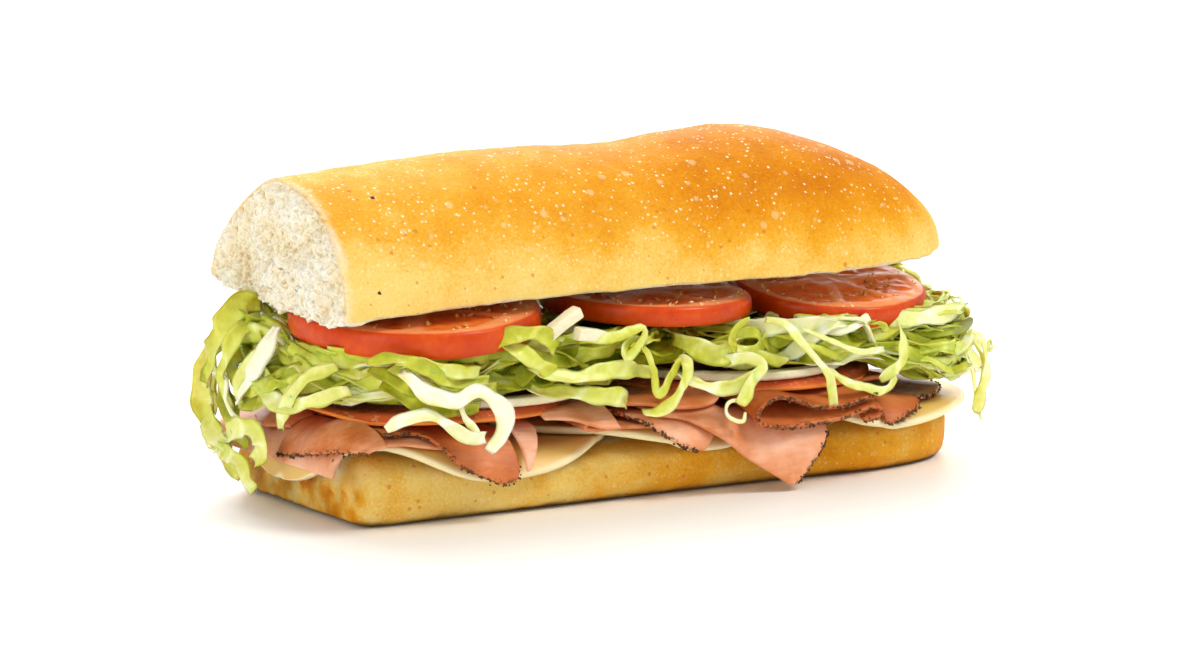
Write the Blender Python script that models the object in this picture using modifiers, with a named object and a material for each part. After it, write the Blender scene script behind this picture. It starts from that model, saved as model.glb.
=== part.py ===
"""Half of a long submarine sandwich, cut across at one end and round at the other.

The frame: X runs along the loaf from the cut end to the round end, minus Y is
the side that the fillings spill out of, and Z is up. The origin lies on the
table under the middle of the loaf. Sizes below are in millimetres and become
metres when a mesh is made.
"""

import bpy
import bmesh
import numpy as np

MM = 0.001
GAP = 0.3

LOAF_HALF_WIDTH = 35.0
BASE_HALF_WIDTH = 34.5

BREAD_EDGE = 30.0
BREAD_END = 85.5
BEND_RADIUS = 7.0
HANG_ANGLE = np.radians(80)
LOWER_BREAD = 14.0
LOWER_BREAD_RISE = 4.0

CHEESE_THICKNESS = 1.8
CHEESE_PRESS = 0.1
HAM_THICKNESS = 1.1
CURED_THICKNESS = 0.9
ONION_THICKNESS = 2.4
SHRED_THICKNESS = 0.9

HEAP_SEED = 28
HEAP_SHREDS = 27


def smooth(low, high, value):
    """Rise from 0 at low to 1 at high with soft ends."""
    share = np.clip((np.asarray(value, float) - low) / (high - low), 0, 1)
    return share * share * (3 - 2 * share)


def curve_through(points, count):
    """Even steps along a smooth curve through a few points."""
    points = np.array(points, float)
    ends = np.vstack([2 * points[0] - points[1], points, 2 * points[-1] - points[-2]])
    share = np.linspace(0, len(points) - 1 - 1e-9, 16 * len(points))
    start = share.astype(int)
    t = (share - start)[:, None]
    a, b, c, d = (ends[start + step] for step in range(4))
    fine = 0.5 * (2 * b + (c - a) * t + (2 * a - 5 * b + 4 * c - d) * t ** 2
                  + (3 * b - a - 3 * c + d) * t ** 3)
    run = np.concatenate([[0], np.cumsum(np.linalg.norm(np.diff(fine, axis=0), axis=1))])
    even = np.linspace(0, run[-1], count)
    return np.column_stack([np.interp(even, run, fine[:, axis]) for axis in range(fine.shape[1])])


def material(name, colour, roughness):
    """A plain finish with one colour."""
    finish = bpy.data.materials.new(name)
    finish.use_nodes = True
    shader = finish.node_tree.nodes["Principled BSDF"]
    shader.inputs["Base Color"].default_value = (*colour, 1)
    shader.inputs["Roughness"].default_value = roughness
    shader.inputs["Metallic"].default_value = 0
    return finish


def finish_object(name, mesh, collection, look):
    """Name a mesh, give it its finish and put it in its collection."""
    mesh.name = name
    mesh.materials.append(look)
    mesh.shade_smooth()
    item = bpy.data.objects.new(name, mesh)
    collection.objects.link(item)
    return item


def loft(name, rings, collection, look):
    """A closed solid through rings of points, with both ends capped."""
    count, around = rings.shape[:2]
    corners = [tuple(point) for point in (rings.reshape(-1, 3) * MM).tolist()]
    faces = [(row * around + step, row * around + (step + 1) % around,
              (row + 1) * around + (step + 1) % around, (row + 1) * around + step)
             for row in range(count - 1) for step in range(around)]
    faces.append(tuple(range(around)))
    faces.append(tuple((count - 1) * around + step for step in range(around)))
    mesh = bpy.data.meshes.new(name)
    mesh.from_pydata(corners, [], faces)
    shape = bmesh.new()
    shape.from_mesh(mesh)
    bmesh.ops.triangulate(shape, faces=shape.faces)
    bmesh.ops.recalc_face_normals(shape, faces=shape.faces)
    shape.to_mesh(mesh)
    shape.free()
    item = finish_object(name, mesh, collection, look)
    mesh.set_sharp_from_angle(angle=np.radians(50))
    return item


def sheet(name, along, across, place, thickness, collection, look):
    """A thin wavy solid: a flat grid set in place by a formula, then given its thickness."""
    shape = bmesh.new()
    bmesh.ops.create_grid(shape, x_segments=along, y_segments=across, size=1)
    bmesh.ops.triangulate(shape, faces=shape.faces, quad_method="FIXED")
    mesh = bpy.data.meshes.new(name)
    shape.to_mesh(mesh)
    shape.free()
    flat = np.empty(len(mesh.vertices) * 3)
    mesh.vertices.foreach_get("co", flat)
    flat = flat.reshape(-1, 3)
    placed = place((flat[:, 0] + 1) / 2, (flat[:, 1] + 1) / 2)
    mesh.vertices.foreach_set("co", (placed * MM).ravel())
    mesh.update()
    item = finish_object(name, mesh, collection, look)
    wall = item.modifiers.new("Thickness", "SOLIDIFY")
    wall.thickness = thickness * MM
    wall.offset = 0
    return item


def turned(name, profile, steps, centre, lean_x, lean_y, collection, look):
    """A profile of radius and height turned about its axis, then leaned and placed."""
    mesh = bpy.data.meshes.new(name)
    corners = [(radius * MM, 0, height * MM) for radius, height in profile]
    edges = [(step, step + 1) for step in range(len(profile) - 1)]
    if profile[0][0] > 0:
        edges.append((len(profile) - 1, 0))
    mesh.from_pydata(corners, edges, [])
    item = finish_object(name, mesh, collection, look)
    spin = item.modifiers.new("Turn", "SCREW")
    spin.axis = "Z"
    spin.steps = steps
    spin.render_steps = steps
    spin.use_merge_vertices = True
    spin.merge_threshold = 0.00001
    item.location = [value * MM for value in centre]
    item.rotation_euler = (np.arctan(lean_y), -np.arctan(lean_x), 0)
    return item


def lower_bread_top(x):
    """Height of the lower bread's cut face, which lifts towards the cut end."""
    return LOWER_BREAD + LOWER_BREAD_RISE * smooth(-38, -92, x)


def loaf_bend(x):
    """How far the loaf curves forward along its length."""
    return -3.5 * smooth(0, 95, x)


def past_edge(distance):
    """How far a layer goes out and comes down after it passes the bread's edge."""
    bent = np.minimum(distance, BEND_RADIUS * HANG_ANGLE) / BEND_RADIUS
    hung = np.maximum(distance - BEND_RADIUS * HANG_ANGLE, 0)
    out = BEND_RADIUS * np.sin(bent) + hung * np.cos(HANG_ANGLE)
    down = BEND_RADIUS * (1 - np.cos(bent)) + hung * np.sin(HANG_ANGLE)
    return out, down


def bread_surface(u, v):
    """The face that the fillings lie on, bent down past the bread's edges."""
    u, v = np.broadcast_arrays(np.asarray(u, float), np.asarray(v, float))
    out, down = past_edge(np.maximum(np.abs(v) - BREAD_EDGE, 0))
    end_out, end_down = past_edge(np.maximum(-u - BREAD_END, 0))
    x = np.where(u < -BREAD_END, -BREAD_END - end_out, u)
    y = np.sign(v) * (np.minimum(np.abs(v), BREAD_EDGE) + out) + loaf_bend(u)
    return np.stack([x, y, lower_bread_top(u) - down - end_down], -1)


def lay(u, v, height):
    """A point of a layer: u along the bread, v across it, height above its face."""
    step = 0.05
    slope_u = bread_surface(u + step, v) - bread_surface(u - step, v)
    slope_v = bread_surface(u, v + step) - bread_surface(u, v - step)
    up = np.cross(slope_u, slope_v)
    up /= np.linalg.norm(up, axis=-1, keepdims=True)
    return bread_surface(u, v) + up * np.asarray(height)[..., None]


def cheese_top(u):
    """Height of the cheese above the bread: two slices deep where they overlap."""
    first = smooth(-48, -43, u) * smooth(2.5, -5.5, u)
    second = smooth(17, 22, u) * smooth(63, 55, u)
    return 2 * GAP + CHEESE_THICKNESS + (2 * GAP + CHEESE_THICKNESS) * (first + second)


def front_edge(u, height, target):
    """Distance across at which a layer has come down to the target height in front."""
    trial = -np.linspace(BREAD_EDGE - 4, BREAD_EDGE + 26, 121)
    edge = []
    for one_u, one_height, one_target in zip(u, height, target):
        drop = lay(np.full_like(trial, one_u), trial, np.full_like(trial, one_height))[:, 2]
        edge.append(np.interp(-one_target, -drop, trial))
    return np.array(edge)


def end_edge(v, height, target):
    """Distance along at which a layer has come down to the target height at the cut end."""
    trial = -np.linspace(BREAD_END - 3, BREAD_END + 20, 93)
    edge = []
    for one_v, one_height, one_target in zip(v, height, target):
        drop = lay(trial, np.full_like(trial, one_v), np.full_like(trial, one_height))[:, 2]
        edge.append(np.interp(-one_target, -drop, trial))
    return np.array(edge)


def super_section(turn, half_front, half_back, up, down, power_front, power_back, power_down):
    """An egg-shaped section, each of its quarters with its own width, height and fullness."""
    cos, sin = np.cos(turn), np.sin(turn)
    upper = sin >= 0
    power = np.where(upper, np.where(cos < 0, power_front, power_back), power_down)
    half = np.where(cos < 0, half_front, half_back)
    y = np.sign(cos) * half * np.abs(cos) ** (2 / power)
    z = np.sign(sin) * np.where(upper, up, down) * np.abs(sin) ** (2 / power)
    return y, z


def nose(x, start, end, power):
    """Share of the full width that is left along the round end."""
    share = np.clip((x - start) / (end - start), 0, 1)
    return (1 - share ** power) ** (1 / power)


def upper_bread(collection, look):
    """The upper half of the loaf: domed crust, cut crumb below and at the cut end."""
    stations = np.array([-95.4, -93, -86, -74, -60, -46, -30, -14, 0, 12, 24, 36, 47,
                         57, 66, 74, 80, 85.5, 89.2, 91.5, 92.3])
    turn = np.linspace(0, 2 * np.pi, 26, endpoint=False) + 0.02
    rings = []
    for x in stations:
        width = nose(x, 46, 92.8, 2.1)
        edge = np.interp(x, [-96, -60, -40, 40, 70, 96], [50.6, 52.2, 52.9, 53.2, 54.0, 54.6])
        crown = np.interp(x, [-96, -86, -67, -45, 0, 12, 30, 48, 96],
                          [80.8, 81.8, 83.5, 84.8, 84.6, 86.2, 87.6, 87.2, 85])
        height = (crown - edge) * nose(x, 31, 93, 1.8)
        under = 1.2 + 1.6 * smooth(-92, -95, x)
        y, z = super_section(turn, LOAF_HALF_WIDTH * width, (LOAF_HALF_WIDTH + 0.5) * width,
                             height, under * (0.3 + 0.7 * width), 2.05, 1.45, 3.2)
        tilt = 0.055 * (y + LOAF_HALF_WIDTH) * (1 - 0.8 * smooth(0, 1, z / 30))
        rings.append(np.column_stack([np.full_like(y, x), y + loaf_bend(x), edge + z + tilt]))
    return loft("bun_top", np.array(rings), collection, look)


def lower_bread(collection, look):
    """The lower half of the loaf: flat underneath, full sides, pinched at the cut end."""
    stations = np.array([-91.5, -90.8, -88.5, -84, -76, -66, -57, -45, -30, -10, 10, 30, 46, 58,
                         68, 76, 82.5, 87.5, 91, 93, 94])
    turn = np.linspace(0, 2 * np.pi, 22, endpoint=False) + 0.02
    rings = []
    for x in stations:
        width = nose(x, 50, 94.8, 2.2) * (0.86 + 0.14 * nose(-x, 80, 92, 2))
        middle = 8.5
        lift = 1.4 * smooth(-86, -91.5, x) + 5.5 * (1 - nose(x, 70, 95, 2.4))
        bent = np.clip((1 - x - BREAD_END) / BEND_RADIUS, 0, 1)
        end_drop = 1.2 * BEND_RADIUS * (1 - np.sqrt(1 - bent ** 2))
        rise = (lower_bread_top(x) - end_drop - middle) * (0.55 + 0.45 * nose(x, 60, 95, 2.4))
        y, z = super_section(turn, BASE_HALF_WIDTH * width, BASE_HALF_WIDTH * width,
                             rise, 11.5, 3.5, 3.5, 3)
        z = np.maximum(middle + z, lift)
        lean = 1.5 * smooth(-85, -91.5, x) * (1 - z / 18)
        rings.append(np.column_stack([x + lean, y + loaf_bend(x), z]))
    return loft("bun_bottom", np.array(rings), collection, look)


def rows(t, front, back):
    """Distance across for a share t, with most rows where a layer bends over the edges."""
    inner = BREAD_EDGE - 1.5
    near = front + (-inner - front) * np.clip(t / 0.42, 0, 1)
    middle = 2 * inner * np.clip((t - 0.42) / 0.22, 0, 1)
    far = (back - inner) * np.clip((t - 0.64) / 0.36, 0, 1)
    return near + middle + far


def columns(s, start, stop):
    """Distance along for a share s, with most columns where a layer bends over the cut end."""
    if start > -BREAD_END:
        return start + (stop - start) * s
    bent = start + (1.5 - BREAD_END - start) * np.clip(s / 0.4, 0, 1)
    return bent + (stop - 1.5 + BREAD_END) * np.clip((s - 0.4) / 0.6, 0, 1)


def cheese(name, centre, half_length, half_width, lift, collection, look):
    """A round slice of cheese draped over the bread."""
    def place(s, t):
        start = centre[0] - half_length
        u = columns(s, start, start + 2 * half_length)
        share = 0.985 * (u - centre[0]) / half_length
        half = half_width * (1 - np.abs(share) ** 2.1) ** (1 / 2.1)
        v = centre[1] + rows(t, -half, half)
        wide = half > BREAD_EDGE
        v = np.where(wide, v, centre[1] + half * (2 * t - 1))
        return lay(u, v, lift(u) + CHEESE_THICKNESS / 2)
    return sheet(name, 10, 9, place, CHEESE_THICKNESS, collection, look)


def draped(name, outline, lift, back, counts, collection, look):
    """A slice of ham laid over the bread, its front edge hanging along an outline."""
    outline = np.array(outline, float)
    knots = np.linspace(outline[0, 0], outline[-1, 0], 41)
    target = np.interp(knots, outline[:, 0], outline[:, 1])
    edge = front_edge(knots, lift(knots, -BREAD_EDGE + 0 * knots), target)

    def place(s, t):
        u = columns(s, outline[0, 0], outline[-1, 0])
        near = np.interp(u, knots, edge)
        v = rows(t, near, back(u))
        return lay(u, v, lift(u, v))
    return sheet(name, counts[0], counts[1], place, HAM_THICKNESS, collection, look)


def end_draped(name, outline, lift, inner, counts, collection, look):
    """A slice of ham laid over the cut end, its lower edge hanging along an outline."""
    outline = np.array(outline, float)
    knots = np.linspace(outline[0, 0], outline[-1, 0], 31)
    target = np.interp(knots, outline[:, 0], outline[:, 1])
    edge = end_edge(knots, lift(-BREAD_END + 0 * knots, knots), target)

    def place(s, t):
        v = outline[0, 0] + (outline[-1, 0] - outline[0, 0]) * t
        near = np.interp(v, knots, edge)
        u = near + (inner - near) * s
        return lay(u, v, lift(u, v))
    return sheet(name, counts[0], counts[1], place, HAM_THICKNESS, collection, look)


def end_slice(name, start, stop, collection, look):
    """A slice of ham lying near the round end, its outline rounded like the loaf's."""
    def place(s, t):
        u = start + (stop - start) * s
        half = 33 * (1 - np.abs((u - 55) / 38) ** 2.1) ** (1 / 2.1)
        v = half * (2 * t - 1)
        return lay(u, v, 3.6 + 0.3 * np.sin(u / 3 + v / 9))
    return sheet(name, 6, 9, place, HAM_THICKNESS, collection, look)


def folded(name, path, front, back, rest, counts, collection, look):
    """A folded slice of ham: a path of x and z at the front, carried to the back at rest height."""
    line = curve_through(path, counts[0] + 1)

    def place(s, t):
        run = s * counts[0]
        x = np.interp(run, np.arange(len(line)), line[:, 0])
        z = np.interp(run, np.arange(len(line)), line[:, 1])
        y = front + (back - front) * t ** 1.8
        settled = 1 - (1 - np.clip((y - front) / 15, 0, 1)) ** 2
        z = z + (rest(x, z) - z) * settled
        x = x + 1.2 * np.sin((y - front) / 17)
        return np.stack([x, y, z], -1)
    return sheet(name, counts[0], counts[1], place, HAM_THICKNESS, collection, look)


def flat_slice(name, centre, radii, height, thickness, collection, look):
    """A round thin slice lying nearly flat, with a slightly wavy rim."""
    def place(s, t):
        angle = np.arctan2(2 * t - 1, 2 * s - 1)
        reach = np.maximum(np.abs(2 * s - 1), np.abs(2 * t - 1))
        x = centre[0] + radii[0] * reach * np.cos(angle)
        y = centre[1] + radii[1] * reach * np.sin(angle)
        wave = 0.25 * np.sin(3 * angle + 1) * reach ** 3
        return np.stack([x, y, height(x, y) + wave], -1)
    return sheet(name, 7, 7, place, thickness, collection, look)


def shred(name, points, facing, width, steps, collection, look):
    """A shred of lettuce: a narrow strip along a curve, its flat side turned to a direction."""
    line = curve_through([point[:3] for point in points], steps + 1)
    twist = curve_through([(point[3], 0) for point in points], steps + 1)[:, 0]
    ahead = np.gradient(line, axis=0)
    ahead /= np.linalg.norm(ahead, axis=1, keepdims=True)
    side = np.cross(ahead, facing)
    side /= np.linalg.norm(side, axis=1, keepdims=True)
    over = np.cross(side, ahead)
    across = side * np.cos(twist)[:, None] + over * np.sin(twist)[:, None]

    def place(s, t):
        run = s * steps
        index = np.arange(steps + 1)
        mid = np.stack([np.interp(run, index, line[:, axis]) for axis in range(3)], -1)
        way = np.stack([np.interp(run, index, across[:, axis]) for axis in range(3)], -1)
        half = width / 2 * (1 - 0.45 * np.abs(2 * s - 1) ** 4)
        return mid + way * (half * (2 * t - 1))[:, None]
    return sheet(name, steps, 1, place, SHRED_THICKNESS, collection, look)


def heap_core(collection, look):
    """The packed middle of the lettuce heap, lumpy and higher at the back."""
    stations = np.array([-93, -90.5, -80, -62, -44, -26, -8, 10, 28, 46, 62, 76,
                         86, 92.5])
    turn = np.linspace(0, 2 * np.pi, 12, endpoint=False)
    rings = []
    for x in stations:
        width = nose(x, 55, 96, 2.2) * nose(-x, 78, 96, 2.4)
        droop = 4.7 + 7.5 * smooth(70, 80, x)
        y, z = super_section(turn, 32.5 * width, 32.5 * width, 4.7, droop, 3.6, 3.6, 3.6)
        lumps = 0.7 * np.sin(x / 6.1 + 2 * turn) + 0.5 * np.sin(x / 3.7 + 5 * turn)
        flatness = np.abs(np.cos(turn)) ** 2
        y = y + np.sign(y) * lumps * flatness
        top = (0.1 * (y + 12) + 5.5 * smooth(17, 27, y) * width) * np.clip(z / 4.7, 0, 1)
        rings.append(np.column_stack([np.full_like(y, x), y, 35.2 + z * 0.98 + top]))
    return loft("lettuce", np.array(rings), collection, look)


FRONT = (0, -1, 0.2)
CUT_SIDE = (-1, -0.4, 0.2)
ROUND_SIDE = (0.6, -0.8, 0.1)

HERO_SHREDS = (
    (FRONT, 5.5, ((-86, -31, 38, 0.5), (-84, -37, 33, 0.4), (-74, -40.5, 30, 0.2), (-60, -41.5, 29.6, 0.1),
                  (-49, -39.5, 32.5, 0.3), (-44, -34, 35, 0.6))),
    (FRONT, 4.2, ((-78, -33, 36, 0.5), (-67, -42.5, 32.5, 0.2), (-59.5, -45, 29, 0.2),
                  (-57, -45.4, 23.5, 0.4), (-61, -45.2, 20.8, 0.3), (-69, -44.8, 23, 0.1),
                  (-77, -44, 26, 0.2), (-85, -41.5, 25.6, 0.4))),
    (FRONT, 4.5, ((-50, -31, 37, 0.6), (-40, -39, 32.5, 0.3), (-28, -41.5, 30.6, 0.1),
                  (-16, -41.5, 30.8, 0.2), (-8, -37, 33, 0.5))),
    (FRONT, 4.0, ((2, -31, 39, 0.6), (10, -40, 36, 0.3), (16, -44.5, 31, 0.2), (14.5, -45.5, 26, 0.2),
                  (11, -45.6, 22.5, 0.3))),
    (FRONT, 3.6, ((34, -32, 37, 0.5), (42, -40, 34, 0.3), (48, -45, 29, 0.1), (50, -46, 22.5, 0.2))),
    (FRONT, 4.2, ((48, -32, 34, 0.5), (56, -40, 31, 0.2), (64, -42, 29.4, 0.1), (73, -40, 30.5, 0.3),
                  (80, -30, 34, 0.6))),
    (ROUND_SIDE, 6.0, ((80, -24, 36, 0.5), (91, -26, 33, 0.2), (99, -24, 26, 0.1), (102.5, -21, 20, 0.1),
                       (102, -20, 14, 0.4), (99, -22, 10, 0.8))),
    (ROUND_SIDE, 2.4, ((86, -6, 37, 0.4), (97, -6, 35.5, 0.2), (107, -7, 30, 0.2), (113, -7, 25.5, 0.5),
                       (113.5, -6, 19, 0.8), (107, -5, 17.5, 1.2))),
    (ROUND_SIDE, 2.0, ((84, -12, 38, 0.3), (94, -14, 34, 0.2), (102.5, -14, 24, 0.1), (106, -13, 14, 0.1),
                       (108, -13, 6, 0.2))),
    (CUT_SIDE, 6.0, ((-86, 18, 41, 0.5), (-95.5, 25, 41, 0.3), (-101, 28, 33, 0.1), (-101.5, 28, 22, 0.1),
                     (-99.5, 23, 12.5, 0.3), (-98.5, 15, 6.5, 0.6))),
    (CUT_SIDE, 5.0, ((-86, -8, 38.5, 0.4), (-97.5, -4, 38, 0.2), (-101, 4, 31, 0.1), (-102, 9, 23, 0.2))),
    (CUT_SIDE, 5.0, ((-86, -22, 37, 0.4), (-97, -18, 34.5, 0.2), (-99.5, -8, 32.5, 0.2), (-98, 4, 34.5, 0.3),
                     (-86, 12, 37, 0.6))),
    (CUT_SIDE, 5.0, ((-84, 8, 40, 0.4), (-96, 9, 45, 0.3), (-98, 17, 46, 0.2), (-98.5, 27, 38.5, 0.2),
                     (-96, 33, 28, 0.3), (-95.5, 34, 19, 0.2))),
)


def edge_shreds(collection, look):
    """Shreds spread by rule round the rim of the heap, each a short curl."""
    draw = np.random.default_rng(HEAP_SEED)
    for count in range(HEAP_SHREDS):
        turn = 2 * np.pi * (count + 0.5) / HEAP_SHREDS
        middle = np.array([87 * np.sign(np.cos(turn)) * abs(np.cos(turn)) ** 0.55,
                           30 * np.sign(np.sin(turn)) * abs(np.sin(turn)) ** 0.55])
        outward = np.array([np.cos(turn) * 0.6, np.sin(turn)])
        outward /= np.linalg.norm(outward)
        along = np.array([-outward[1], outward[0]])
        half = draw.uniform(10, 15)
        rise = draw.uniform(-1.5, 1.5)
        level = 34.6 + draw.uniform(-1.8, 1.4) + 5.4 * smooth(0, 1, outward[1])
        bulge = draw.uniform(7, 10.5)
        points = []
        for step in np.linspace(-1, 1, 5):
            spot = middle + along * half * step + outward * bulge * (1 - step * step)
            points.append((spot[0], spot[1], level + rise * step, draw.uniform(-0.5, 0.5)))
        shred(f"edge_{count}", points, (*outward, 0.2), draw.uniform(3.6, 5.0), 4, collection, look)


def keep_largest_shell(mesh):
    """Fill the sealed hollows of a joined solid and drop its loose scraps."""
    shape = bmesh.new()
    shape.from_mesh(mesh)
    bmesh.ops.triangulate(shape, faces=shape.faces)
    shells = []
    waiting = set(shape.verts)
    while waiting:
        shell = {waiting.pop()}
        edge = list(shell)
        while edge:
            near = {link.other_vert(point) for point in edge for link in point.link_edges} - shell
            shell |= near
            edge = list(near)
        waiting -= shell
        shells.append(shell)
    shells.sort(key=len)
    for shell in shells[:-1]:
        bmesh.ops.delete(shape, geom=list(shell), context="VERTS")
    shape.to_mesh(mesh)
    shape.free()


def lettuce_heap(collection, pieces, look):
    """One heap: the core with its shreds joined on."""
    heap = heap_core(collection, look)
    for count, (facing, width, points) in enumerate(HERO_SHREDS):
        shred(f"long_{count}", points, facing, width, round(1.6 * len(points)), pieces, look)
    edge_shreds(pieces, look)
    join = heap.modifiers.new("Join", "BOOLEAN")
    join.operation = "UNION"
    join.operand_type = "COLLECTION"
    join.collection = pieces
    join.solver = "MANIFOLD"
    bpy.context.view_layer.update()
    graph = bpy.context.evaluated_depsgraph_get()
    joined = bpy.data.meshes.new_from_object(heap.evaluated_get(graph))
    keep_largest_shell(joined)
    heap.modifiers.clear()
    heap.data = joined
    for piece in list(pieces.objects):
        bpy.data.objects.remove(piece)
    bpy.data.collections.remove(pieces)
    return heap


def tomato(name, centre, radius, thickness, lean, collection, look):
    """A round slice of tomato with a soft rim."""
    half = thickness / 2
    profile = [(0, half), (radius - 1.4, half), (radius - 0.2, half * 0.5),
               (radius - 0.2, -half * 0.5), (radius - 1.4, -half), (0, -half)]
    return turned(name, profile, 36, centre, lean[0], lean[1], collection, look)


def onion_ring(name, centre, radius, wall, height, collection, look):
    """One ring of a sliced onion."""
    half = height / 2
    profile = [(radius - 0.3, half), (radius, 0), (radius - 0.3, -half), (radius - wall, -half),
               (radius - wall, half)]
    return turned(name, profile, 24, centre, 0.0, 0.0, collection, look)


def onion_chip(name, centre, size, turn, collection, look):
    """A short cut piece of onion."""
    bpy.ops.mesh.primitive_cube_add(size=1)
    chip = bpy.context.object
    chip.name = name
    chip.data.name = name
    chip.data.transform(np.diag([*(value * MM for value in size), 1]).tolist())
    chip.data.materials.append(look)
    round_edges = chip.modifiers.new("Edges", "BEVEL")
    round_edges.width = 0.5 * MM
    round_edges.segments = 1
    chip.location = [value * MM for value in centre]
    chip.rotation_euler = turn
    for owner in list(chip.users_collection):
        owner.objects.unlink(chip)
    collection.objects.link(chip)
    return chip


def build():
    """Make every piece of the sandwich."""
    for item in list(bpy.data.objects):
        bpy.data.objects.remove(item)
    parts = bpy.data.collections.new("submarine_sandwich")
    pieces = bpy.data.collections.new("heap_pieces")
    bpy.context.scene.collection.children.link(parts)
    bpy.context.scene.collection.children.link(pieces)

    crust = material("crust", (0.72, 0.40, 0.12), 0.6)
    cheese_look = material("cheese", (0.86, 0.72, 0.42), 0.4)
    ham_look = material("ham", (0.78, 0.38, 0.27), 0.4)
    cured_look = material("cured_meat", (0.68, 0.22, 0.10), 0.4)
    onion_look = material("onion", (0.88, 0.86, 0.74), 0.25)
    lettuce_look = material("lettuce", (0.50, 0.58, 0.10), 0.4)
    tomato_look = material("tomato", (0.60, 0.08, 0.02), 0.2)

    upper_bread(parts, crust)
    lower_bread(parts, crust)

    single = 2 * GAP
    double = 4 * GAP + CHEESE_THICKNESS
    cheese("cheese_left", (-54.3, -0.5), 45.3, 39.2, lambda u: single + 0 * u, parts, cheese_look)
    cheese("cheese_middle", (4, -0.5), 47, 36.5,
           lambda u: single + (double - single - CHEESE_PRESS) * smooth(-0.5, -7.5, u), parts, cheese_look)
    cheese("cheese_right", (61, -0.5), 38.5, 36.5,
           lambda u: single + (double - single) * smooth(61, 54, u), parts, cheese_look)

    level = HAM_THICKNESS / 2 + 2.2 * GAP
    pitch = HAM_THICKNESS + GAP

    draped("ham_band", [(-95.5, 16.2), (-94, 16.6), (-91, 20.2), (-81, 20.1), (-72, 18.6), (-60, 17.5)],
           lambda u, v: cheese_top(u) + level, lambda u: 35 + 2 * np.sin(u / 6), (8, 9), parts, ham_look)
    draped("ham_tongue", [(-85, 22.6), (-76, 21.8), (-72.3, 19.3), (-69.2, 15.4), (-64.8, 12.8),
                          (-60.4, 10.7), (-56.6, 9.7), (-53.4, 10.5), (-52.3, 13.5)],
           lambda u, v: cheese_top(u) + level + pitch + 0.1 + 0.4 * (1 + np.sin(v / 5 + u / 9)),
           lambda u: 34 + 3 * np.sin(u / 5 + 1), (9, 9), parts, ham_look)
    end_draped("ham_end_fold", [(-34.5, 19.2), (-32.9, 19.4), (-17.8, 17.0), (-9.6, 15.4), (-2.4, 15.0)],
               lambda u, v: 4.9 + 2.4 * np.exp(-((v + 22) / 8) ** 2), -85.8, (5, 8), parts, ham_look)
    end_draped("ham_end_roll", [(-1.2, 20.6), (3, 20.4), (9.6, 20.0), (14, 20.4), (18, 20.6)],
               lambda u, v: 4.8 + 2.2 * np.exp(-((v - 8) / 6) ** 2), -85.8, (4, 6), parts, ham_look)
    draped("ham_pink", [(-51.6, 12.4), (-50.4, 12.7), (-47.7, 16.4), (-45.1, 20.0), (-43.9, 22.6)],
           lambda u, v: 7.4 + 0 * u, lambda u: 36 + 0 * u, (4, 9), parts, ham_look)
    folded("ham_fold_low", [(0.5, 17.0), (-6, 18.0), (-13, 18.6), (-22.9, 19.0), (-28.6, 19.2),
                            (-30.8, 20.1), (-29, 21.1), (-23, 20.9)],
           -36.4, 32, lambda x, z: 19.45 - 0.022 * x + 0.8 * np.maximum(z - 19.3, 0), (15, 5),
           parts, ham_look)
    draped("ham_fold_top", [(-43.2, 23.4), (-35.4, 22.6), (-29.2, 20.6), (-24.0, 20.2)],
           lambda u, v: 10.75 + 0.1 * np.sin(u / 4), lambda u: 35 + 0 * u, (5, 8), parts, ham_look)
    draped("ham_slope", [(-20.8, 22.5), (-15.2, 20.6), (-10.9, 17.4), (-6.7, 14.2), (-2.4, 12.6),
                         (0.5, 12.8), (3.9, 15.4)],
           lambda u, v: 6.8 - 0.05 * u, lambda u: 34 + 0 * u, (7, 9), parts, ham_look)
    draped("ham_cover", [(-21, 24.4), (-12, 23.8), (-6, 22.9), (0, 22.5), (6, 23.0), (11, 24.4)],
           lambda u, v: 10.6 + 0 * u, lambda u: 36 + 1.5 * np.sin(u / 5), (7, 8), parts, ham_look)
    draped("ham_flap", [(-11.6, 21.4), (-3.1, 19.8), (4.1, 15.5), (11.3, 10.2), (17.9, 5.9),
                        (24.5, 1.9), (26.7, 2.0), (31.1, 5.8), (35.5, 10.7), (37.4, 13.8)],
           lambda u, v: 5.65 + 3.05 * smooth(14, 5, u), lambda u: 35 + 1.5 * np.sin(u / 7), (11, 9),
           parts, ham_look)
    folded("ham_roll", [(50.5, 22.4), (44, 20.9), (39, 20.1), (33.2, 20.1), (28, 21.8), (23.6, 23.6),
                        (19.6, 24.0), (16.2, 22.6), (14.6, 20.2), (15.2, 17.9), (21.5, 16.4),
                        (28.1, 15.9), (35, 16.3), (40.5, 17.2), (45.5, 18.5), (49.5, 19.0),
                        (52.2, 17.8), (51.0, 16.0), (46.5, 15.9)],
           -44.8, 36, lambda x, z: 21.05 + 0.45 * (z - 15.9), (25, 6), parts, ham_look)
    draped("ham_side", [(54.8, 14.2), (57.5, 14.2), (62.6, 15.5), (68.5, 16.9), (70.6, 19.3)],
           lambda u, v: 4.3 + 1.7 * smooth(70, 56, u), lambda u: 32 + 0 * u, (5, 8), parts, ham_look)
    end_slice("ham_end", 72.4, 91.0, parts, ham_look)
    draped("ham_upper", [(54.2, 24.0), (58, 24.2), (62, 24.0), (67, 24.4)],
           lambda u, v: 9.9 - 0.02 * (u - 60) ** 2, lambda u: 33 + 0 * u, (4, 8), parts, ham_look)

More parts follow.
